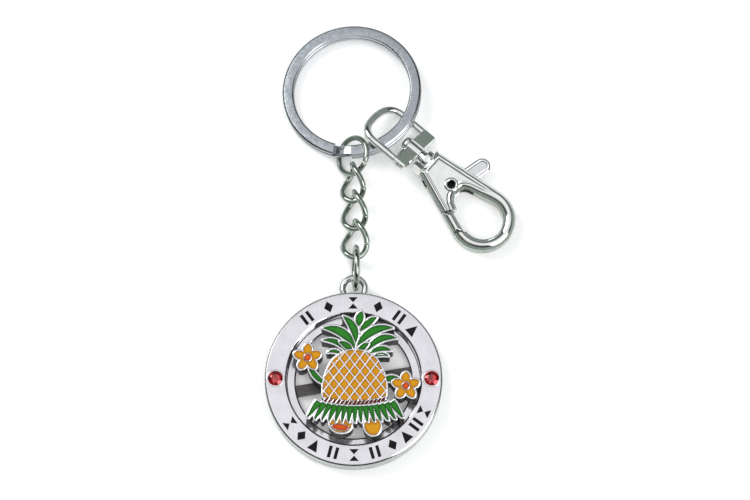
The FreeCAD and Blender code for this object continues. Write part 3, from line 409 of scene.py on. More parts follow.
class Nodes:
    """Builds a material's nodes in Object coordinates, which are the keychain's own metres."""

    def __init__(self, name):
        self.material = bpy.data.materials.new(name)
        self.material.use_nodes = True
        self.tree = self.material.node_tree
        self.shader = next(n for n in self.tree.nodes if n.type == "BSDF_PRINCIPLED")
        self.place = self.add("ShaderNodeTexCoord").outputs["Object"]

    def set(self, **values):
        """Sets inputs of the shader; an underscore stands for a space."""
        for key, value in values.items():
            self.shader.inputs[key.replace("_", " ")].default_value = value

    def add(self, kind, inputs=None, **settings):
        node = self.tree.nodes.new(kind)
        for key, value in settings.items():
            setattr(node, key, value)
        for key, value in (inputs or {}).items():
            if isinstance(value, bpy.types.NodeSocket):
                self.tree.links.new(value, node.inputs[key])
            else:
                node.inputs[key].default_value = value
        return node

    def link(self, output, name):
        self.tree.links.new(output, self.shader.inputs[name])

    def noise(self, scale, detail=3.0, stretch=None):
        """Noise with `scale` features per millimetre."""
        where = self.place
        if stretch:
            where = self.add("ShaderNodeMapping", {"Vector": where, "Scale": stretch}).outputs[0]
        return self.add("ShaderNodeTexNoise", {"Vector": where, "Scale": scale / MM,
                                               "Detail": detail}).outputs["Fac"]

    def ramp(self, factor, *stops):
        node = self.add("ShaderNodeValToRGB", {"Fac": factor})
        set_stops(node, stops)
        return node.outputs["Color"]

    def span(self, factor, low, high, start=0.0, stop=1.0):
        return self.add("ShaderNodeMapRange", {"Value": factor, "From Min": start, "From Max": stop,
                                               "To Min": low, "To Max": high}).outputs[0]

    def colour(self, factor, *stops):
        self.link(self.ramp(factor, *stops), "Base Color")

    def rough(self, factor, low, high, start=0.0, stop=1.0):
        self.link(self.span(factor, low, high, start, stop), "Roughness")

    def bump(self, height, strength, distance_mm):
        self.link(self.add("ShaderNodeBump", {"Height": height, "Strength": strength,
                                              "Distance": distance_mm * MM}).outputs[0], "Normal")


WEAR = 0.35                # how far hairline scratches change a plating's roughness


def metal(name, colour, rough, streak=None, dent=0.12):
    """Plated metal: a little cloudiness, hairline scratches and soft polishing waves."""
    n = Nodes(name)
    n.set(Metallic=0.95)
    cloud = n.noise(0.35, 4.0)
    darker = tuple(c * 0.88 for c in colour)
    n.colour(cloud, (0.3, darker), (0.7, colour))
    hair = n.noise(1.4, 6.0, stretch=streak or (1.0, 0.12, 1.0))
    n.rough(hair, rough * (1 - WEAR), rough * (1 + WEAR), 0.35, 0.65)
    soft = n.noise(0.22, 2.0)
    waves = n.add("ShaderNodeMath", {0: soft, 1: n.span(hair, 0.0, 0.12)}, operation="ADD")
    n.bump(waves.outputs[0], dent, 0.35)
    return n.material


def enamel(name, deep, bright, rough=0.10):
    """Glossy enamel, deeper along its rims; tone runs 0 to 1 from a cell's rim to its middle."""
    n = Nodes(name)
    shade = n.add("ShaderNodeAttribute", attribute_name="tone").outputs["Fac"]
    grain = n.span(n.noise(0.9, 3.0), -0.12, 0.12, 0.3, 0.7)
    level = n.add("ShaderNodeMath", {0: shade, 1: grain}, operation="ADD", use_clamp=True)
    n.colour(level.outputs[0], (0.0, deep), (1.0, bright))
    n.rough(n.noise(2.5, 2.0), rough * 0.8, rough * 1.4)
    n.set(Specular_IOR_Level=0.16)
    n.bump(n.noise(1.1, 2.0), 0.10, 0.06)
    return n.material


def casting_painted_shade():
    """The emblem's deep cast walls and the bore of the hook's rivet: nearly black painted shade,
    rough, with bright grains.
    """
    n = Nodes("casting_painted_shade")
    n.colour(n.noise(2.2, 5.0), (0.52, (0.012, 0.014, 0.013)), (0.68, (0.10, 0.11, 0.10)),
             (0.78, (0.42, 0.45, 0.42)))
    n.set(Metallic=0.85)
    n.rough(n.noise(1.3, 3.0), 0.30, 0.60)
    n.bump(n.noise(1.6, 5.0), 0.8, 0.25)
    return n.material


def gem():
    """Red glass whose colour runs from painted glints to dark painted reflections, in patches."""
    n = Nodes("ruby_stone")
    # Bright red at each cell's middle and near black at its edge: painted glints and painted dark
    # reflections.
    cut = n.add("ShaderNodeTexVoronoi", {"Vector": n.place, "Scale": 0.85 / MM}).outputs["Distance"]
    n.colour(cut, (0.10, (0.85, 0.03, 0.04)), (0.45, (0.42, 0.004, 0.008)),
             (0.75, (0.10, 0.0, 0.001)))
    n.rough(n.noise(3.0, 2.0), 0.02, 0.07)
    n.set(Metallic=0.55, IOR=1.7, Coat_Weight=1.0, Coat_Roughness=0.02)
    return n.material


def black_fill():
    """Matt black enamel in the engraved marks."""
    n = Nodes("black_enamel")
    n.colour(n.noise(1.2, 3.0), (0.3, (0.004, 0.004, 0.005)), (0.7, (0.012, 0.012, 0.013)))
    n.rough(n.noise(3.0, 2.0), 0.18, 0.34)
    n.set(Specular_IOR_Level=0.10)
    n.bump(n.noise(2.0, 3.0), 0.2, 0.04)
    return n.material


NICKEL = metal("bright_nickel", (0.34, 0.385, 0.345), 0.10)
CLASP_NICKEL = metal("clasp_nickel", (0.76, 0.775, 0.755), 0.11, dent=0.16)
# The clasp's steep sides: a darker copy of its nickel, painted shade.
CLASP_FLANK_SHADE = metal("clasp_flank_painted_shade", (0.36, 0.41, 0.37), 0.16, dent=0.16)
RING = metal("ring_nickel", (0.43, 0.46, 0.485), 0.20, streak=(1.0, 1.0, 0.1), dent=0.05)
SILVER = metal("medallion_silver", (0.72, 0.71, 0.735), 0.14, dent=0.05)
# The medallion's steep outer wall: a darker copy of its silver, painted shade.
SILVER_FLANK_SHADE = metal("medallion_flank_painted_shade", (0.44, 0.48, 0.45), 0.22, dent=0.08)
EMBLEM_SILVER = metal("emblem_silver", (0.76, 0.76, 0.78), 0.16, dent=0.10)
# The spinner bar, low under the emblem: nearly black metal, painted shade for the emblem's shadow
# on it.
SPINNER_BAR_SHADE = metal("spinner_bar_painted_shade", (0.095, 0.088, 0.086), 0.38, streak=(0.12, 1.0, 1.0))
SPRING = metal("spring_steel", (0.40, 0.40, 0.41), 0.25)
LEVER_METAL = metal("lever_face", (0.68, 0.69, 0.70), 0.24, dent=0.04)
BLACK = black_fill()
RUBY = gem()
CASTING_WALL_SHADE = casting_painted_shade()
GREEN = enamel("green_enamel", (0.002, 0.055, 0.004), (0.021, 0.20, 0.014))
ORANGE = enamel("orange_enamel", (0.42, 0.145, 0.002), (0.63, 0.285, 0.005))
ORANGE_RED = enamel("orange_red_enamel", (0.36, 0.026, 0.002), (0.66, 0.095, 0.006))
DARK_RED = enamel("dark_red_enamel", (0.06, 0.004, 0.003), (0.19, 0.012, 0.006))


# ---------------- split ring

RING_OUTER, RING_INNER, COIL, GAP = 16.19, 13.61, 1.38, 0.12
RING_CENTRE = Vector((-0.43, 68.84, 0))
RING_LEAN, RING_LEAN_TOWARDS, RING_STEP_AT, COIL_SPAN = 5.0, -22.0, 270.0, 344.0


def ring_path(radius, degrees):
    angles = np.radians(degrees)
    return np.c_[radius * np.cos(angles), radius * np.sin(angles), np.zeros(len(angles))]


def split_ring():
    """Two coils of flat wire, with a step where it climbs from the lower one to the upper one."""
    across, along = polar(1.0, RING_LEAN_TOWARDS)
    lean = turn_about(Vector((along, -across, 0)), RING_LEAN)
    height = RING_OUTER * math.sin(math.radians(RING_LEAN))
    matrix = (Matrix.Translation(RING_CENTRE + UP * height) @ lean
              @ turn_about("Z", RING_STEP_AT))
    middle = (RING_OUTER + RING_INNER) / 2
    wide, tall = (RING_OUTER - RING_INNER) / 2, COIL / 2
    # Bevels below, shallower ones above, wider on the outside.
    section = rounded_loop([(-wide, 0.38 - tall), (0.38 - wide, -tall), (wide - 0.46, -tall),
                            (wide, 0.36 - tall), (wide, tall - 0.24), (wide - 0.46, tall),
                            (0.34 - wide, tall), (-wide, tall - 0.17)], 0.09, 3)
    angles = np.linspace(0.0, 360.0 + COIL_SPAN, 353)
    climb = np.clip((angles - COIL_SPAN) / (360.0 - COIL_SPAN), 0.0, 1.0)
    climb = climb * climb * (3 - 2 * climb)
    path = ring_path(middle, angles)
    path[:, 2] = COIL / 2 + climb * (COIL + GAP)
    piece = sweep("split_ring_wire", path, section, [UP] * len(path), matrix, 50.0)
    finish_piece(piece, "split_ring", ["split_ring"], "ring_steel", RING)


# ---------------- jump rings and chain

RING_TURN = np.linspace(0, 356.6, 160)      # a jump ring's wire, less its cut
LINK_HALF_WIDE, LINK_HALF_LONG, LINK_TWIST, LINK_CUT, LINK_CUT_AT = 3.2, 4.38, 45.0, 0.035, -0.35
CHAIN = (("chain_link_1", (-0.25, 46.45, 3.65), 54.0, 0.0),
         ("chain_link_2", (0.1, 39.85, 3.5), 48.0, 0.0),
         ("chain_link_3", (0.25, 32.85, 3.6), 40.0, -6.0))


def chain_wire(node, path, radius, matrix):
    finish_piece(wire(node + "_wire", path, radius, matrix), node, [node], "wire_nickel", NICKEL)


def upper_ring():
    matrix = (Matrix.Translation((-0.3, 52.95, 3.62)) @ turn_about("Y", -42.0)
              @ turn_about("Z", -30.0))
    chain_wire("upper_ring", ring_path(4.33, RING_TURN), 0.642, matrix)


def lower_ring():
    matrix = (Matrix.Translation((0.42, 25.6, 5.41)) @ turn_about("Y", 4.0)
              @ turn_about(Vector((1, 1, 1)), 120.0) @ turn_about("Z", 60.0))
    chain_wire("lower_ring", ring_path(4.72, RING_TURN), 0.67, matrix)


def chain_link(node, centre, roll, rise):
    """A curb link: an oval whose two ends are turned 45 degrees each way."""
    angles = LINK_CUT_AT + np.linspace(LINK_CUT / 2, 2 * math.pi - LINK_CUT / 2, 150)
    turns = np.radians(LINK_TWIST) * np.sin(angles)
    across = LINK_HALF_WIDE * np.cos(angles)
    path = np.c_[across * np.cos(turns), LINK_HALF_LONG * np.sin(angles), across * np.sin(turns)]
    matrix = Matrix.Translation(centre) @ turn_about("X", rise) @ turn_about("Y", -roll)
    chain_wire(node, path, 0.675, matrix)


# ---------------- medallion

HOLE_RAD, LEDGE_RAD, LEDGE_HIGH = 15.05, 13.1, 1.9
MARK_RAD, MARK_TALL, MARK_STROKE = 17.5, 2.7, 0.75
UPPER_MARKS = (("bars", 127.0), ("diamond", 109.0), ("hourglass", 90.5), ("diamond", 71.5),
               ("bars", 54.0), ("triangle", 40.0))
LOWER_MARKS = (("hourglass", 216.0), ("diamond", 228.5), ("triangle", 240.5), ("bars", 255.0),
               ("hourglass", 270.5), ("bars", 286.0), ("diamond", 300.0), ("triangle", 311.5),
               ("bars", 323.0), ("hourglass", 334.0))
MARKS = (("upper_mark_enamel", UPPER_MARKS, -90.0), ("lower_mark_enamel", LOWER_MARKS, 90.0))
MARK_DEEP = 0.35
STONES = (("rhinestone_left", -17.55), ("rhinestone_right", 17.55))
SEAT_RAD, SEAT_DEEP = 1.84, 0.9
SLOT_HALF_LONG, SLOT_HALF_WIDE, SLOT_TURN = 14.25, 1.35, 9.8
EYELET_AT, EYELET_RAD, EYELET_HALF_WIDE, EYELET_HALF_TALL = (0, 21.27, 3.1), 2.59, 0.74, 1.0


def mark_shapes(kind, grow):
    """A geometric border motif about its own middle, +Y outwards."""
    tall, stroke = MARK_TALL / 2 + grow, MARK_STROKE / 2 + grow
    if kind == "bars":
        return [rectangle(x - stroke, -tall, x + stroke, tall)
                for x in (-MARK_STROKE, MARK_STROKE)]
    if kind == "diamond":
        return [[(0, -tall), (tall * 0.8, 0), (0, tall), (-tall * 0.8, 0)]]
    if kind == "hourglass":
        return [[(-tall * 0.8, side * tall), (tall * 0.8, side * tall), (0, side * 0.15)]
                for side in (-1, 1)]
    return [[(-tall * 0.9, -tall), (tall * 0.9, -tall), (0, tall)]]


def rectangle(left, bottom, right, top):
    return [(left, bottom), (right, bottom), (right, top), (left, top)]


def oval_points(centre, half_x, half_y, degrees, count=48):
    angles = [2 * math.pi * i / count for i in range(count)]
    return turned([(half_x * math.cos(angle), half_y * math.sin(angle)) for angle in angles],
                  math.radians(degrees), centre)


def prisms(name, outlines, low, high, matrix=None):
    """Closed prisms over outlines, joined in one mesh."""
    verts, faces = [], []
    for outline in outlines:
        points = np.asarray(outline, float)
        after = np.roll(points, -1, axis=0)
        if np.sum(points[:, 0] * after[:, 1] - points[:, 1] * after[:, 0]) < 0:
            points = points[::-1]
        base, count = len(verts), len(points)
        verts += [(x, y, low) for x, y in points] + [(x, y, high) for x, y in points]
        faces.append(tuple(base + count - 1 - i for i in range(count)))
        faces.append(tuple(base + count + i for i in range(count)))
        for i in range(count):
            j = (i + 1) % count
            faces.append((base + i, base + j, base + count + j, base + count + i))
    return new_piece(name, verts, faces, matrix)


def mark_outlines(marks, tilt, grow):
    """A row of marks; tilt turns them from outwards to upright for whoever reads the row."""
    return [turned(shape, math.radians(degrees + tilt), polar(MARK_RAD, degrees))
            for kind, degrees in marks for shape in mark_shapes(kind, grow)]


def medallion():
    corners = [(LEDGE_RAD, 0.0), (RIM_RAD, 0.0), (RIM_RAD, FACE - 0.22),
               (RIM_RAD - 0.20, FACE - 0.10), (RIM_RAD - 0.38, FACE), (HOLE_RAD + 0.40, FACE),
               (HOLE_RAD, FACE - 0.20), (HOLE_RAD, LEDGE_HIGH + 0.1), (HOLE_RAD - 0.12, LEDGE_HIGH),
               (LEDGE_RAD + 0.34, LEDGE_HIGH), (LEDGE_RAD, LEDGE_HIGH - 0.17)]
    bends = [0.12, 0.28, 0.1, 0.1, 0.08, 0.04, 0.06, 0.0, 0.05, 0.05, 0.05]
    casting = revolve("medallion_casting", rounded_loop(corners, bends, 3), segments=256)
    eyelet = [(EYELET_RAD + EYELET_HALF_WIDE * x, EYELET_HALF_TALL * z)
              for x, z in oval_points((0, 0), 1, 1, 0, 24)]
    boolean(casting, [revolve("eyelet", eyelet, Matrix.Translation(EYELET_AT), 96)], "UNION")
    cutters = [prisms("mark_cut", mark_outlines(marks, tilt, 0.0), FACE - MARK_DEEP, FACE + 1)
               for node, marks, tilt in MARKS]
    for node, x in STONES:
        seat = rectangle(0, FACE - SEAT_DEEP, SEAT_RAD, FACE + 1)
        cutters.append(revolve("seat", seat, Matrix.Translation((x, 0, 0)), 48))
    slot = rectangle(-SLOT_HALF_LONG, -SLOT_HALF_WIDE, SLOT_HALF_LONG, SLOT_HALF_WIDE)
    cutters.append(prisms("bar_slot", [slot], -1.0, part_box("spinner_bar")[1].z / MM + 0.02,
                          turn_about("Z", SLOT_TURN)))
    boolean(casting, cutters, "DIFFERENCE")
    shade_painted_flanks(casting, UP, RIM_RAD - 0.5)
    finish_piece(casting, "medallion", ["medallion_frame"], "medallion_silver", SILVER,
                 SILVER_FLANK_SHADE)
    for node, marks, tilt in MARKS:
        fill = prisms(node + "_fill", mark_outlines(marks, tilt, -0.01), FACE - MARK_DEEP + 0.01,
                      FACE - 0.05)
        finish_piece(fill, "medallion", [node], "black_enamel", BLACK)
    for node, x in STONES:
        stone(node, x)


def stone(node, x):
    """A round brilliant crown in its seat: table, star and bezel facets, girdle."""
    table, girdle, sides = 0.95, 1.78, 8
    base, rise = FACE - 0.88, FACE + 0.42
    rows = [([table] * sides, 0.0, rise), ([1.38, 1.38] * (sides // 2), 0.5, rise - 0.2),
            ([girdle] * sides * 2, 0.0, FACE - 0.02), ([girdle] * sides * 2, 0.0, base)]
    verts = [(*circle_point(radius, 2 * math.pi * (i + shift) / len(radii)), height)
             for radii, shift, height in rows for i, radius in enumerate(radii)]
    around = 2 * sides
    star, belt, base_row = sides, 2 * sides, 4 * sides     # each row's first point
    faces = [tuple(range(sides))]
    for i in range(sides):
        after, peak = (i + 1) % sides, star + i
        left, mid, right = (belt + (2 * i + step) % around for step in range(3))
        faces += [(i, peak, after), (i, left, peak), (left, mid, peak), (mid, right, peak),
                  (peak, right, after)]
    for i in range(around):
        after = (i + 1) % around
        faces.append((belt + i, base_row + i, base_row + after, belt + after))
    faces.append(tuple(base_row + around - 1 - i for i in range(around)))
    piece = new_piece(node + "_gem", verts, faces, Matrix.Translation((x, 0, 0)), 1.0)
    piece.data.shade_flat()
    finish_piece(piece, "medallion", [node], "rhinestone", RUBY)
    profile = rounded_loop([(1.62, FACE - 0.05), (2.08, FACE - 0.05), (2.02, FACE + 0.14),
                            (1.70, FACE + 0.16)], 0.05, 3)
    bezel = revolve(node + "_bezel", profile, Matrix.Translation((x, 0, 0)), 64)
    bezel.data.materials.append(SILVER)
    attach(bezel, "medallion")


# ---------------- emblem

EMBLEM_LOW, EMBLEM_WAIST, EMBLEM_TOP, CORE_RAD = 2.2, 5.2, 7.4, 14.5
CELL_FLOOR, RIM, GUARD = 6.9, 0.45, 0.3375
FRUIT_CENTRE = (0.3, -0.4)
FRUIT_OUTLINE = ((-6.7, -4.7), (-6.4, -0.3), (-4.6, 3.7), (0.3, 5.95), (5.2, 3.7), (7.0, -0.3),
                 (7.3, -4.5), (0.3, -5.6))
# Crown leaves from front to back: tip, base, bow of the left and of the right edge.
LEAVES = (
    ((-3.2, 7.9), (-0.2, 5.7), 0.35, -0.9),
    ((3.5, 7.5), (0.9, 5.7), 0.75, -0.45),
    ((1.7, 15.0), (1.1, 11.6), 0.85, -0.85),
    ((-2.3, 13.8), (0.5, 7.6), -0.15, -1.75),
    ((8.9, 11.1), (0.8, 6.6), 2.5, 0.75),
    ((-6.9, 11.1), (0.3, 6.3), -0.6, -2.4),
    ((5.3, 13.6), (1.5, 10.4), 1.05, -0.35),
    ((9.7, 8.7), (3.1, 5.8), 2.1, 0.7),
    ((-6.9, 8.3), (-1.6, 5.6), -0.5, -1.5),
    ((8.5, 5.9), (3.6, 5.2), 1.3, 0.3),
    ((-5.8, 5.5), (-2.7, 5.0), -0.2, -0.85),
    ((7.8, 4.7), (4.4, 4.5), 0.75, 0.1),
)
SIDE_LEAVES = (((-10.1, 2.9), (-5.9, -1.9), 0.1, 1.15), ((10.9, -1.2), (6.2, -1.0), 1.25, -0.1))
BLOSSOMS = ((-10.3, 4.3), (11.7, -2.2))
PETALS, PETAL_REACH, PETAL_RAD, HEART_RAD = 5, 1.62, 1.12, 0.75
SMALL_FRUITS = (((-2.8, -11.0), 2.4, 1.75, -8.0), ((4.3, -11.4), 1.75, 1.95, 15.0))
SLICE = ((-2.9, -11.6), 1.85, 0.62, -8.0)
FROND_FOCUS, FROND_SPREAD, FRONDS = (0.4, 6.0), 37.0, 15
LATTICE_PITCH, LATTICE_HALF, LATTICE_SLOPE = 2.35, 0.13, 52.0
RIM_EDGE, RIM_ROUNDING, LATTICE_ROUNDING = 0.13, 0.11, 0.025
ENAMEL_BELOW, ENAMEL_DISH, DISH_EDGE, ENAMEL_TOP = 0.13, 0.07, 0.35, 7.3
STRANDS = 15
CASTING = ("emblem", ["emblem_casting"], "medallion_silver", EMBLEM_SILVER)
PAINTS = {"fruit_enamel": ("fruit_enamel", ORANGE), "leaf_enamel": ("green_enamel", GREEN),
          "rope_enamel": ("dark_red_enamel", DARK_RED), "frond_enamel": ("green_enamel", GREEN),
          "blossom_enamel": ("fruit_enamel", ORANGE),
          "small_fruit_enamel": ("fruit_enamel", ORANGE),
          "slice_enamel": ("orange_red_enamel", ORANGE_RED)}


def arc_points(start, through, stop, count=20):
    """Points along the circle through three points, without the last one."""
    (ax, ay), (bx, by), (cx, cy) = start, through, stop
    twice = 2 * (ax * (by - cy) + bx * (cy - ay) + cx * (ay - by))
    a2, b2, c2 = ax * ax + ay * ay, bx * bx + by * by, cx * cx + cy * cy
    x = (a2 * (by - cy) + b2 * (cy - ay) + c2 * (ay - by)) / twice
    y = (a2 * (cx - bx) + b2 * (ax - cx) + c2 * (bx - ax)) / twice
    radius = math.hypot(ax - x, ay - y)
    first, middle, last = (math.atan2(q - y, p - x) for p, q in (start, through, stop))
    whole = (last - first) % (2 * math.pi)
    if (middle - first) % (2 * math.pi) > whole:
        whole -= 2 * math.pi
    return [(x + radius * math.cos(first + whole * i / count),
             y + radius * math.sin(first + whole * i / count)) for i in range(count)]


def closed_arcs(points):
    """A closed outline of arcs: a corner, a point on the arc, the next corner and so on."""
    return [point for i in range(0, len(points), 2)
            for point in arc_points(points[i], points[i + 1], points[(i + 2) % len(points)])]


def leaf_points(leaf):
    tip, base, left, right = leaf
    along = (Vector(tip) - Vector(base)).normalized()
    side = Vector((-along.y, along.x))
    middle = (Vector(tip) + Vector(base)) / 2
    return closed_arcs((base, tuple(middle + side * left), tip, tuple(middle + side * right)))


def petal_points(centre):
    turns = [90.0 + 360.0 * i / PETALS for i in range(PETALS)]
    return [oval_points(polar(PETAL_REACH, turn, centre), PETAL_RAD + 0.35, PETAL_RAD - 0.2, turn)
            for turn in turns]


def frond_points(index):
    """One blade-shaped cell of the fan, its hem a little ragged."""
    def radius(degrees, middle_rad, end_rad):
        return middle_rad + (end_rad - middle_rad) * (degrees / FROND_SPREAD) ** 2
    middle = -FROND_SPREAD + 2 * FROND_SPREAD / FRONDS * (index + 0.5)
    inner, outer = radius(middle, 12.9, 14.6), radius(middle, 16.2, 18.7)
    half, tip = FROND_SPREAD / FRONDS + 0.1, math.degrees(0.26 / outer)
    neck = inner + (outer - inner) * (0.22 + 0.12 * math.sin(index * 2.3))
    corners = [(inner, middle - half), (neck, middle - half), (outer, middle - tip),
               (outer + 0.35, middle + tip * 0.4), (neck, middle + half), (inner, middle + half)]
    return [polar(rad, degrees - 90.0, FROND_FOCUS) for rad, degrees in corners]


def strand_points(index):
    x = -6.5 + 13.6 * (index + 0.5) / STRANDS
    y = -6.15 + 0.019 * (x - 0.3) ** 2
    return [(x - 0.62, y - 0.40), (x + 0.06, y - 0.40), (x + 0.62, y + 0.40), (x - 0.06, y + 0.40)]


def band_points():
    return (arc_points((-7.2, -4.6), (0.3, -5.5), (7.8, -4.4))
            + arc_points((7.8, -5.4), (0.3, -6.6), (-7.2, -5.6)))


def paint(piece, grid, values):
    """Stores a field of the grid on the piece's points, as its tone."""
    where = np.zeros(len(piece.data.vertices) * 3)
    piece.data.vertices.foreach_get("co", where)
    where = (where.reshape(-1, 3) - np.array(MIDDLE)) / MM
    column = np.clip((where[:, 0] - grid.xs[0]) / grid.step, 0, len(grid.xs) - 1.001)
    row = np.clip((where[:, 1] - grid.ys[0]) / grid.step, 0, len(grid.ys) - 1.001)
    tone = values[row.astype(int), column.astype(int)]
    piece.data.attributes.new("tone", "FLOAT", "POINT").data.foreach_set("value", tone)


def emblem():
    grid = Grid((-14.6, -15.6), (15.2, 16.4), 0.07)
    fruit = grid.polygon(closed_arcs(FRUIT_OUTLINE), 3.5)
    leaves = [grid.polygon(leaf_points(leaf)) for leaf in LEAVES]
    side_leaves = [grid.polygon(leaf_points(leaf)) for leaf in SIDE_LEAVES]
    petals = [grid.polygon(points) for centre in BLOSSOMS for points in petal_points(centre)]
    hearts = joined([grid.circle(centre, HEART_RAD) for centre in BLOSSOMS])
    fronds = joined([grid.polygon(frond_points(i)) for i in range(FRONDS)])
    strands = joined([grid.polygon(strand_points(i)) for i in range(STRANDS)])
    band = grid.polygon(band_points())
    fruits = joined([grid.polygon(oval_points(*small)) for small in SMALL_FRUITS])
    cut_slice = grid.polygon(oval_points(*SLICE))
    # The lattice lines bow a little, as they would round a barrel.
    lattice = grid.flat(9.0)
    dx, dy = grid.x - FRUIT_CENTRE[0], grid.y - FRUIT_CENTRE[1]
    for slope in (LATTICE_SLOPE, -LATTICE_SLOPE):
        sine, cosine = math.sin(math.radians(slope)), math.cos(math.radians(slope))
        bowed = dx + 0.012 * dx * dy * dy / 6.0
        offset = (bowed * sine - dy * cosine) / (LATTICE_PITCH * abs(sine)) * np.sign(sine)
        nearest = np.abs(offset - np.round(offset)) * LATTICE_PITCH * abs(sine)
        lattice = np.minimum(lattice, nearest - LATTICE_HALF)
    cells = {"fruit_enamel": np.maximum(fruit, -lattice)}
    front = fruit - GUARD
    leaf_cells, levels = [], []
    for leaf in leaves:
        leaf_cells.append(np.maximum(leaf, -front))
        front = np.minimum(front, leaf - GUARD)
    guard = np.minimum(fruit, joined(petals)) - GUARD
    leaf_cells += [np.maximum(leaf, -guard) for leaf in side_leaves]
    cells["leaf_enamel"] = joined(leaf_cells)
    cells["rope_enamel"] = strands
    cells["frond_enamel"] = fronds
    cells["blossom_enamel"] = np.maximum(joined(petals), 0.25 - hearts)
    cells["small_fruit_enamel"] = np.maximum(fruits, -np.minimum(fronds - GUARD, cut_slice - 0.22))
    cells["slice_enamel"] = np.minimum(hearts, cut_slice)
    # Depths of the metal below the top, from the back layer to the front one.
    layers = [(fruits, 0.26), (fronds, 0.18), (joined(side_leaves), 0.22), (joined(petals), 0.08)]
    layers += [(leaf, 0.05 + 0.024 * i) for i, leaf in reversed(list(enumerate(leaves)))]
    layers += [(fruit, 0.0), (band + RIM, 0.0)]
    drop = grid.flat(0.2)
    for field, depth in layers:
        drop = np.where(field < RIM, depth, drop)
    outer = np.minimum(joined(leaves + side_leaves + petals + [fruit, fronds, fruits]) - RIM, band)
    rims = np.maximum(outer, -joined(list(cells.values())))
    edge = np.clip(-rims / RIM_EDGE, 0, 1)
    # The thin lattice lines on the fruit are nearly flat, the wider rims are rounded.
    rounding = np.where(fruit < -0.1, LATTICE_ROUNDING, RIM_ROUNDING)
    rim_top = EMBLEM_TOP - drop - rounding * (1 - edge) ** 2
    # The sides of the rims, plate and core take the nearly black painted shade as their second
    # material.
    top = relief("emblem_rims", grid, rims, rim_top, grid.flat(CELL_FLOOR - 0.1))
    finish_piece(top, *CASTING, CASTING_WALL_SHADE)
    upper = relief("emblem_plate", grid, outer + 0.01, grid.flat(CELL_FLOOR),
                   grid.flat(EMBLEM_WAIST), walls=((0.0, 6.4), (-0.05, 5.9)))
    finish_piece(upper, *CASTING, CASTING_WALL_SHADE)
    coarse = grid.halved()
    core = np.maximum(outer[::2, ::2], coarse.circle((0, 0), CORE_RAD))
    lower = relief("emblem_core", coarse, core + 0.06, coarse.flat(EMBLEM_WAIST + 0.05),
                   coarse.flat(EMBLEM_LOW), walls=((0.0, 4.2), (-0.04, 3.2)))
    finish_piece(lower, *CASTING, CASTING_WALL_SHADE)
    stud = rounded_loop(rectangle(0, 0.1, 1.2, EMBLEM_LOW + 0.3), [0, 0.12, 0, 0], 4)
    finish_piece(revolve("emblem_stud", stud, segments=48), *CASTING)
    for node, field in cells.items():
        slot, material = PAINTS[node]
        inside = np.clip(-field, 0, 0.7)
        # The enamel sinks a little from the rim to the middle of its cell.
        dish = ENAMEL_DISH * np.clip(inside / DISH_EDGE, 0, 1) ** 0.5
        surface = EMBLEM_TOP - drop - ENAMEL_BELOW - dish
        fill = relief(node + "_fill", grid, field, np.minimum(surface, ENAMEL_TOP),
                      grid.flat(CELL_FLOOR - 0.02))
        paint(fill, grid, np.clip(0.15 + inside / 0.45 * 0.75, 0, 1))
        finish_piece(fill, "emblem", [node], slot, material, material)


# ---------------- snap hook

CLASP = (Matrix.Translation((16.48, 52.2, 3.7)) @ turn_about("Z", -40.6) @ turn_about("Y", 3.0))
CLASP_UP = CLASP.to_3x3() @ UP
ALONG = turn_about("Y", 90.0)              # a turned section's axis laid along the swivel
EYE = CLASP @ turn_about("X", -28.0)
HOOK_CENTRE, HOOK_RAD = Vector((19.2, -2.5)), 7.6
OPENING = (((19.3, -2.6), 4.8), ((13.4, -1.8), 2.6))
SHOULDERS = (Vector((1.0, 2.9)), Vector((1.0, -3.7)))
HOOK_HALF = 2.2
PIN = Vector((8.7, -1.3))
GATE_REACH = 11.3
JOINT_OUT, JOINT_IN = Vector((10.4, -8.6)), Vector((13.5, -4.6))
GATE_WALLS = (0.05, 2.3)
PLATE_IN, GROOVE_WIDE, GROOVE_DEEP, BEHIND_COLLAR = 1.32, 0.25, 0.17, 2.25
LEVER_SLOT, LEVER_SLOT_HALF = (2.8, -12, 13.8, 8), 1.2
PIN_RAD, PIN_HOLE_RAD, LEVER_HOLE_RAD = 1.3, 1.32, 1.36
HOOK = ("hook", ["hook_body"], "clasp_nickel", CLASP_NICKEL)
LEVER = ("lever", ["hook_lever"], "clasp_nickel")
RIVET = ("hook", ["hook_rivet"])


def direction(turn):
    return Vector((math.cos(turn), math.sin(turn)))


def turn_of(vector):
    return math.atan2(vector.y, vector.x)


def arc_about(centre, radius, start, stop, count):
    return [centre + direction(turn) * radius for turn in np.linspace(start, stop, count)]


def tangent_point(point, side):
    """Where a line from a shoulder touches the hook's round end."""
    towards = HOOK_CENTRE - point
    reach = math.sqrt(towards.length ** 2 - HOOK_RAD ** 2)
    angle = turn_of(towards) + side * math.asin(HOOK_RAD / towards.length)
    return point + direction(angle) * reach


WALL_ENDS = tangent_point(SHOULDERS[0], 1), tangent_point(SHOULDERS[1], -1)
WALL = (WALL_ENDS[1] - SHOULDERS[1]).normalized()      # along the hook's gate side
INWARD = Vector((-WALL.y, WALL.x))


def hook_points():
    right, left = (turn_of(end - HOOK_CENTRE) for end in WALL_ENDS)
    return [SHOULDERS[1], *arc_about(HOOK_CENTRE, HOOK_RAD, left, right, 90), SHOULDERS[0]]


def two_circle_hull(first, second, count=60):
    """Outline of the convex hull of two circles, the second the smaller."""
    (centre, radius), (other, small) = first, second
    centre, other = Vector(centre), Vector(other)
    gap = other - centre
    base = turn_of(gap)
    swing = math.acos((radius - small) / gap.length)
    return (arc_about(centre, radius, base + swing, base + 2 * math.pi - swing, count)
            + arc_about(other, small, base - swing, base + swing, count // 2))


def gate_cut_points(reach):
    arc = [polar(reach, degrees, PIN) for degrees in np.linspace(-29.0, -52.0, 12)]
    return [JOINT_OUT, JOINT_IN, *arc]


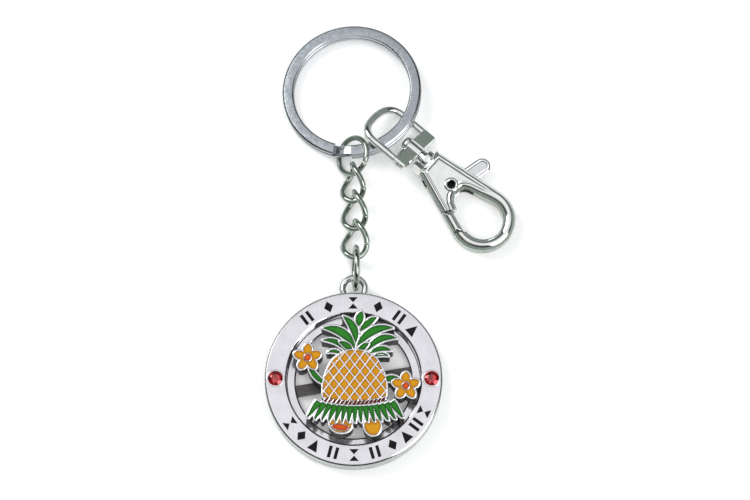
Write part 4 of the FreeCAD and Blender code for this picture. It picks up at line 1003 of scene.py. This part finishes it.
def gate_points():
    """The gate, between two depths under the hook's wall, from its joint to its reach."""
    shift = Vector((1.0, -0.6)).normalized() * 0.15
    start, ahead = JOINT_OUT + shift, JOINT_IN - JOINT_OUT
    roots, turns = [], []
    for depth in GATE_WALLS:
        base = SHOULDERS[1] + INWARD * depth
        gap = base - start
        roots.append(start + ahead * (gap.cross(WALL) / ahead.cross(WALL)))
        offset = base - PIN
        half = offset.dot(WALL)
        tip = base + WALL * (-half + math.sqrt(half ** 2 - offset.length ** 2 + GATE_REACH ** 2))
        turns.append(turn_of(tip - PIN))
    return [roots[0], *arc_about(PIN, GATE_REACH, *turns, 10), roots[1]]


# The bar's slope, by depth from its edge: a steep flank, a dark 27 degree flank, a flat crest.
BAR_DEPTHS = (0, 0.10, 0.16, 0.56, 0.64, 1.04, 1.14, 1.5)
BAR_SLOPES = (2.4, 1.4, 0.86, 0.80, 0.56, 0.5, 0.06, 0)


def bar_height(depth, high, scale=1.0):
    """Height of the bar's surface at each depth, its crest at high."""
    steps = np.linspace(0, 1.5, 151)
    slopes = np.interp(steps, BAR_DEPTHS, BAR_SLOPES)
    rise = np.concatenate([[0], np.cumsum((slopes[1:] + slopes[:-1]) / 2 * 0.01)])
    return high + scale * (np.interp(depth / scale, steps, rise) - rise[-1])


def hook_body():
    grid = Grid((0.2, -11.2), (27.6, 6.6), 0.085)
    outer = grid.polygon(hook_points(), 9.0)
    opening = grid.polygon(two_circle_hull(*OPENING), 4.5)
    depth = np.minimum(-outer, opening)
    plate = np.maximum(np.maximum(outer + PLATE_IN, PLATE_IN + 0.1 - opening), 1.0 - grid.x)
    surface = bar_height(depth, HOOK_HALF)
    groove = np.exp(-(plate / GROOVE_WIDE) ** 2) * np.clip((17.0 - grid.x) / 3.0, 0, 1)
    surface = surface - GROOVE_DEEP * groove
    # Behind the collar the plate falls away.
    surface = np.minimum(surface, HOOK_HALF - 0.55 * np.clip(BEHIND_COLLAR - grid.x, 0, 2))
    gate_cut = grid.polygon(gate_cut_points(GATE_REACH + 0.15), 2.0)
    region = np.maximum(outer, -joined([opening, gate_cut, grid.circle(PIN, PIN_HOLE_RAD)]))
    body = relief("hook_casting", grid, region, surface, -surface, CLASP)
    lever_slot = prisms("lever_slot", [rectangle(*LEVER_SLOT)], -LEVER_SLOT_HALF, LEVER_SLOT_HALF,
                        CLASP)
    boolean(body, [lever_slot], "DIFFERENCE", 35.0)
    shade_painted_flanks(body, CLASP_UP)
    finish_piece(body, *HOOK, CLASP_FLANK_SHADE)
    profile = rounded_loop([(0, -6.45), (1.15, -6.45), (2.0, -5.85), (2.0, -5.34), (1.05, -5.34),
                            (1.05, -1.45), (1.65, -1.45), (1.75, -1.0), (2.1, -0.3), (2.2, -0.1),
                            (2.8, -0.25), (2.8, 1.3), (1.9, 1.4), (1.9, 2.0), (0, 2.0)],
                           [0, 0.25, 0.2, 0.05, 0, 0, 0.1, 0.15, 0.05, 0.05, 0.72, 0.72, 0.05, 0,
                            0], 8)
    finish_piece(revolve("hook_stem", profile, CLASP @ ALONG, 64), *HOOK)
    lug = bevelled_box("hook_lug", (-1.0, -4.4, -1.2), (1.5, -2.7, 1.2), 0.3,
                       CLASP @ turn_about("X", -24.0))
    finish_piece(lug, *HOOK)


def bevelled_box(name, low, high, cut, matrix):
    """A box with every edge cut off at 45 degrees."""
    mesh = bmesh.new()
    for sides in itertools.product((0, 1), repeat=3):
        corner = [high[i] if side else low[i] for i, side in enumerate(sides)]
        inward = [-cut if side else cut for side in sides]
        for keep in range(3):
            mesh.verts.new([corner[i] + (0 if i == keep else inward[i]) for i in range(3)])
    bmesh.ops.convex_hull(mesh, input=mesh.verts)
    bmesh.ops.dissolve_limit(mesh, angle_limit=0.02, verts=mesh.verts, edges=mesh.edges)
    bmesh.ops.recalc_face_normals(mesh, faces=mesh.faces)
    mesh.verts.index_update()
    verts = [tuple(v.co) for v in mesh.verts]
    faces = [[v.index for v in face.verts] for face in mesh.faces]
    mesh.free()
    return new_piece(name, verts, faces, matrix, 20.0)


def hook_rivet():
    half, rim = HOOK_HALF, 0.2
    profile = rounded_loop([(0, -half - rim), (1.65, -half - rim), (1.65, -half), (PIN_RAD, -half),
                            (PIN_RAD, half - 0.05), (1.68, half - 0.05), (1.68, half + 0.02),
                            (1.36, half + rim), (1.16, half + rim), (0.95, half + 0.06), (0.9, 0.6),
                            (0, 0.6)],
                           [0, 0.12, 0, 0, 0, 0, 0.02, 0.08, 0.08, 0.03, 0.1, 0], 3)
    at = CLASP @ Matrix.Translation((PIN.x, PIN.y, 0))
    finish_piece(revolve("hook_rivet_turned", profile, at, 64), *RIVET, "clasp_nickel",
                 CLASP_NICKEL)
    # A nearly black cup in the rivet's bore: painted shade for the depth of the hole.
    cup = [(0, 0.61), (0.88, 0.61), (0.93, half + 0.06), (0.88, half + 0.06), (0.82, 0.7), (0, 0.7)]
    finish_piece(revolve("hook_rivet_bore_shade", cup, at, 48), *RIVET, "dark_metal", CASTING_WALL_SHADE)


def hook_lever():
    """Flat thumb tab and arm, and the gate that closes the hook."""
    grid = Grid((3.0, -11.5), (20.5, 11.0), 0.085)
    lean = Vector((0.24, 0.97)).normalized()
    cross = Vector((lean.y, -lean.x))
    root, end, half = Vector((9.6, 1.6)), Vector((11.0, 7.4)), 1.85

    def on_wall(distance, inset):
        return SHOULDERS[1] + WALL * distance + INWARD * inset

    tab = [root - cross * half, end - cross * half]
    tab += [end + cross * (half * -math.cos(a)) + lean * (half * math.sin(a))
            for a in np.linspace(0.15, math.pi - 0.15, 16)]
    tab += [end + cross * half, root + cross * half]
    neck = [PIN + Vector((-1.7, 0)), root - cross * half, root + cross * half * 0.9,
            PIN + Vector((1.7, 0.4))]
    arm = [on_wall(3.8, 0.02), on_wall(12.2, 0.02), on_wall(12.2, 2.0), PIN + Vector((2.0, -1.25)),
           PIN + Vector((-2.0, -0.5))]
    flat = joined([grid.polygon(points, 2.5) for points in (tab, neck, arm)]
                  + [grid.circle(PIN, 2.5)])
    region = np.maximum(flat, -grid.circle(PIN, LEVER_HOLE_RAD))
    inset = -flat
    top = 0.3 - 0.55 * np.clip(0.32 - inset, 0, 1) - 0.09 * np.exp(-((inset - 0.62) / 0.16) ** 2)
    bottom = -1.1 + 0.16 * (1 - np.clip(inset / 0.22, 0, 1)) ** 2
    plate = relief("lever_plate", grid, region, top, bottom, CLASP)
    finish_piece(plate, *LEVER, LEVER_METAL, LEVER_METAL)
    gate = grid.polygon(gate_points(), 2.0)
    surface = bar_height(-gate, 1.88, 0.8)
    bar = relief("lever_gate", grid, gate, surface, -surface, CLASP)
    shade_painted_flanks(bar, CLASP_UP)
    finish_piece(bar, *LEVER, CLASP_NICKEL, CLASP_FLANK_SHADE)


def lever_spring():
    """A few turns round the rivet with two straight legs."""
    radius, pitch, high, leg = 1.75, 0.38, 0.42, 3.6
    last = 2 * math.pi * high / pitch
    coil = [(*circle_point(radius, angle), pitch * angle / (2 * math.pi))
            for angle in np.linspace(0, last, 60)]
    far = np.array(coil[-1]) + np.array([-math.sin(last), math.cos(last), 0]) * leg
    path = [(radius, -leg * share, 0.0) for share in (1.0, 0.6, 0.3, 0.1)] + coil + [tuple(far)]
    at = CLASP @ Matrix.Translation((PIN.x, PIN.y, 0.56)) @ turn_about("Z", 200.0)
    finish_piece(wire("lever_spring_wire", path, 0.16, at, 12), "hook", ["lever_spring"],
                 "spring_steel", SPRING)


def swivel_eye():
    """A bent-wire loop, its flat crossbar and the barrel the stem turns in."""
    wide, top, corner, corner_x, foot = 6.0, -15.45, 3.8, -11.4, -4.8
    corner_y = wide - corner
    rise = corner_x - top
    crown = (rise ** 2 - corner ** 2 + corner_y ** 2) / (2 * (rise - corner))
    crown_x = top + crown
    path = [(x, wide) for x in np.linspace(foot, corner_x, 14)[:-1]]
    swing = math.atan2(corner_y, corner_x - crown_x)
    for radius, centre, start, stop, count in (
            (corner, (corner_x, corner_y), math.pi / 2, swing, 12),
            (crown, (crown_x, 0.0), swing, 2 * math.pi - swing, 24),
            (corner, (corner_x, -corner_y), -swing, -math.pi / 2, 12)):
        path += [circle_point(radius, turn, centre)
                 for turn in np.linspace(start, stop, count)[:-1]]
    path += [(x, -wide) for x in np.linspace(corner_x, foot, 14)]
    loop = wire("swivel_loop", [(x, y, 0.0) for x, y in path], 0.95, EYE, 40)
    bar = bevelled_box("bar_block", (-5.2, -6.8, -0.9), (-1.6, 6.55, 1.02), 0.34, EYE)
    section = rounded_loop(rectangle(0, -5.24, 1.65, -1.56), [0, 0.18, 0.18, 0], 4)
    barrel = revolve("barrel", section, EYE @ ALONG, 48)
    bore = revolve("bore", rectangle(0, -7.0, 1.11, 0.0), EYE @ ALONG, 40)
    boolean(loop, [bar, barrel], "UNION")
    boolean(loop, [bore], "DIFFERENCE", 13.0)
    finish_piece(loop, "swivel_eye", ["swivel_eye"], "clasp_nickel", CLASP_NICKEL)


# ---------------- stage, light and camera

FLOOR_HALF, FLOOR_HIGH, FLOOR_GLOW = 700.0, -0.02, 0.22
# Name, place, diameter, power.
LAMPS = (("key", (-430.0, 330.0, 520.0), 460.0, 2.8), ("fill", (420.0, -260.0, 480.0), 460.0, 1.9))
CAMERA_AT, CAMERA_TILT, CAMERA_LENS, CAMERA_SENSOR = (4.817, -120.868, 531.018), 16.0, 115.2, 36.0
# The studio's light by the height that it comes from: a soft low box, a dark band, a box overhead.
WORLD_BANDS = (
    (0.00, (0.42, 0.48, 0.44)), (0.20, (0.37, 0.43, 0.39)), (0.36, (0.31, 0.37, 0.33)),
    (0.46, (0.23, 0.27, 0.24)), (0.50, (0.010, 0.012, 0.010)), (0.70, (0.010, 0.011, 0.010)),
    (0.75, (0.22, 0.23, 0.23)), (0.79, (1.10, 1.10, 1.12)), (1.00, (1.12, 1.12, 1.15)),
)
# All of it is dimmer at the far side.
WORLD_FADE = ((0.00, (1.0, 1.0, 1.0)), (0.30, (1.0, 1.0, 1.0)), (0.40, (0.62, 0.63, 0.65)),
              (1.00, (0.75, 0.76, 0.77)))


def floor():
    """A plain pale floor that glows a little, which softens the shadows on it."""
    n = Nodes("pale_floor")
    n.colour(n.noise(0.02, 2.0), (0.3, (0.93, 0.93, 0.93)), (0.7, (0.95, 0.95, 0.95)))
    n.set(Roughness=0.9, Emission_Color=(1.0, 1.0, 1.0, 1.0), Emission_Strength=FLOOR_GLOW)
    verts = [(x, y, FLOOR_HIGH)
             for x, y in rectangle(-FLOOR_HALF, -FLOOR_HALF, FLOOR_HALF, FLOOR_HALF)]
    ground = new_piece("floor", verts, [(0, 1, 2, 3)])
    ground.data.materials.append(n.material)


def stand(name, data, at):
    """Puts a lamp or the camera at a place in millimetres."""
    item = bpy.data.objects.new(name, data)
    item.location = MIDDLE + Vector(at) * MM
    bpy.context.scene.collection.objects.link(item)
    return item


def lamps_and_camera():
    for name, at, size, power in LAMPS:
        data = bpy.data.lights.new(name, "AREA")
        data.shape, data.size, data.energy = "DISK", size * MM, power
        lamp = stand(name, data, at)
        lamp.rotation_euler = (-Vector(at)).to_track_quat("-Z", "Y").to_euler()
    data = bpy.data.cameras.new("camera")
    data.lens, data.sensor_width = CAMERA_LENS, CAMERA_SENSOR
    camera = stand("camera", data, CAMERA_AT)
    camera.rotation_euler = (math.radians(CAMERA_TILT), 0, 0)
    bpy.context.scene.camera = camera
    bpy.context.scene.view_settings.view_transform = "Standard"


def studio_world():
    """A soft studio that the metal reflects, lit by direction only."""
    world = bpy.data.worlds.new("studio")
    bpy.context.scene.world = world
    world.use_nodes = True
    tree = world.node_tree
    new, link = tree.nodes.new, tree.links.new
    split = new("ShaderNodeSeparateXYZ")
    link(new("ShaderNodeTexCoord").outputs["Generated"], split.inputs[0])
    product = new("ShaderNodeMix")
    product.data_type, product.blend_type = "RGBA", "MULTIPLY"
    product.inputs[0].default_value = 1.0
    for axis, stops, socket in (("Z", WORLD_BANDS, 6), ("Y", WORLD_FADE, 7)):
        ramp = new("ShaderNodeValToRGB")
        set_stops(ramp, stops)
        link(split.outputs[axis], ramp.inputs["Fac"])
        link(ramp.outputs["Color"], product.inputs[socket])
    background = next(n for n in tree.nodes if n.type == "BACKGROUND")
    link(product.outputs[2], background.inputs["Color"])
    background.inputs["Strength"].default_value = 1.0


# ---------------- build

split_ring()
upper_ring()
for link in CHAIN:
    chain_link(*link)
lower_ring()
medallion()
emblem()
hook_body()
hook_rivet()
hook_lever()
lever_spring()
swivel_eye()
for node, material in (("spinner_bar", SPINNER_BAR_SHADE), ("spinner_retainer", SILVER)):
    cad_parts[node].data.materials.clear()
    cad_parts[node].data.materials.append(material)
floor()
lamps_and_camera()
studio_world()
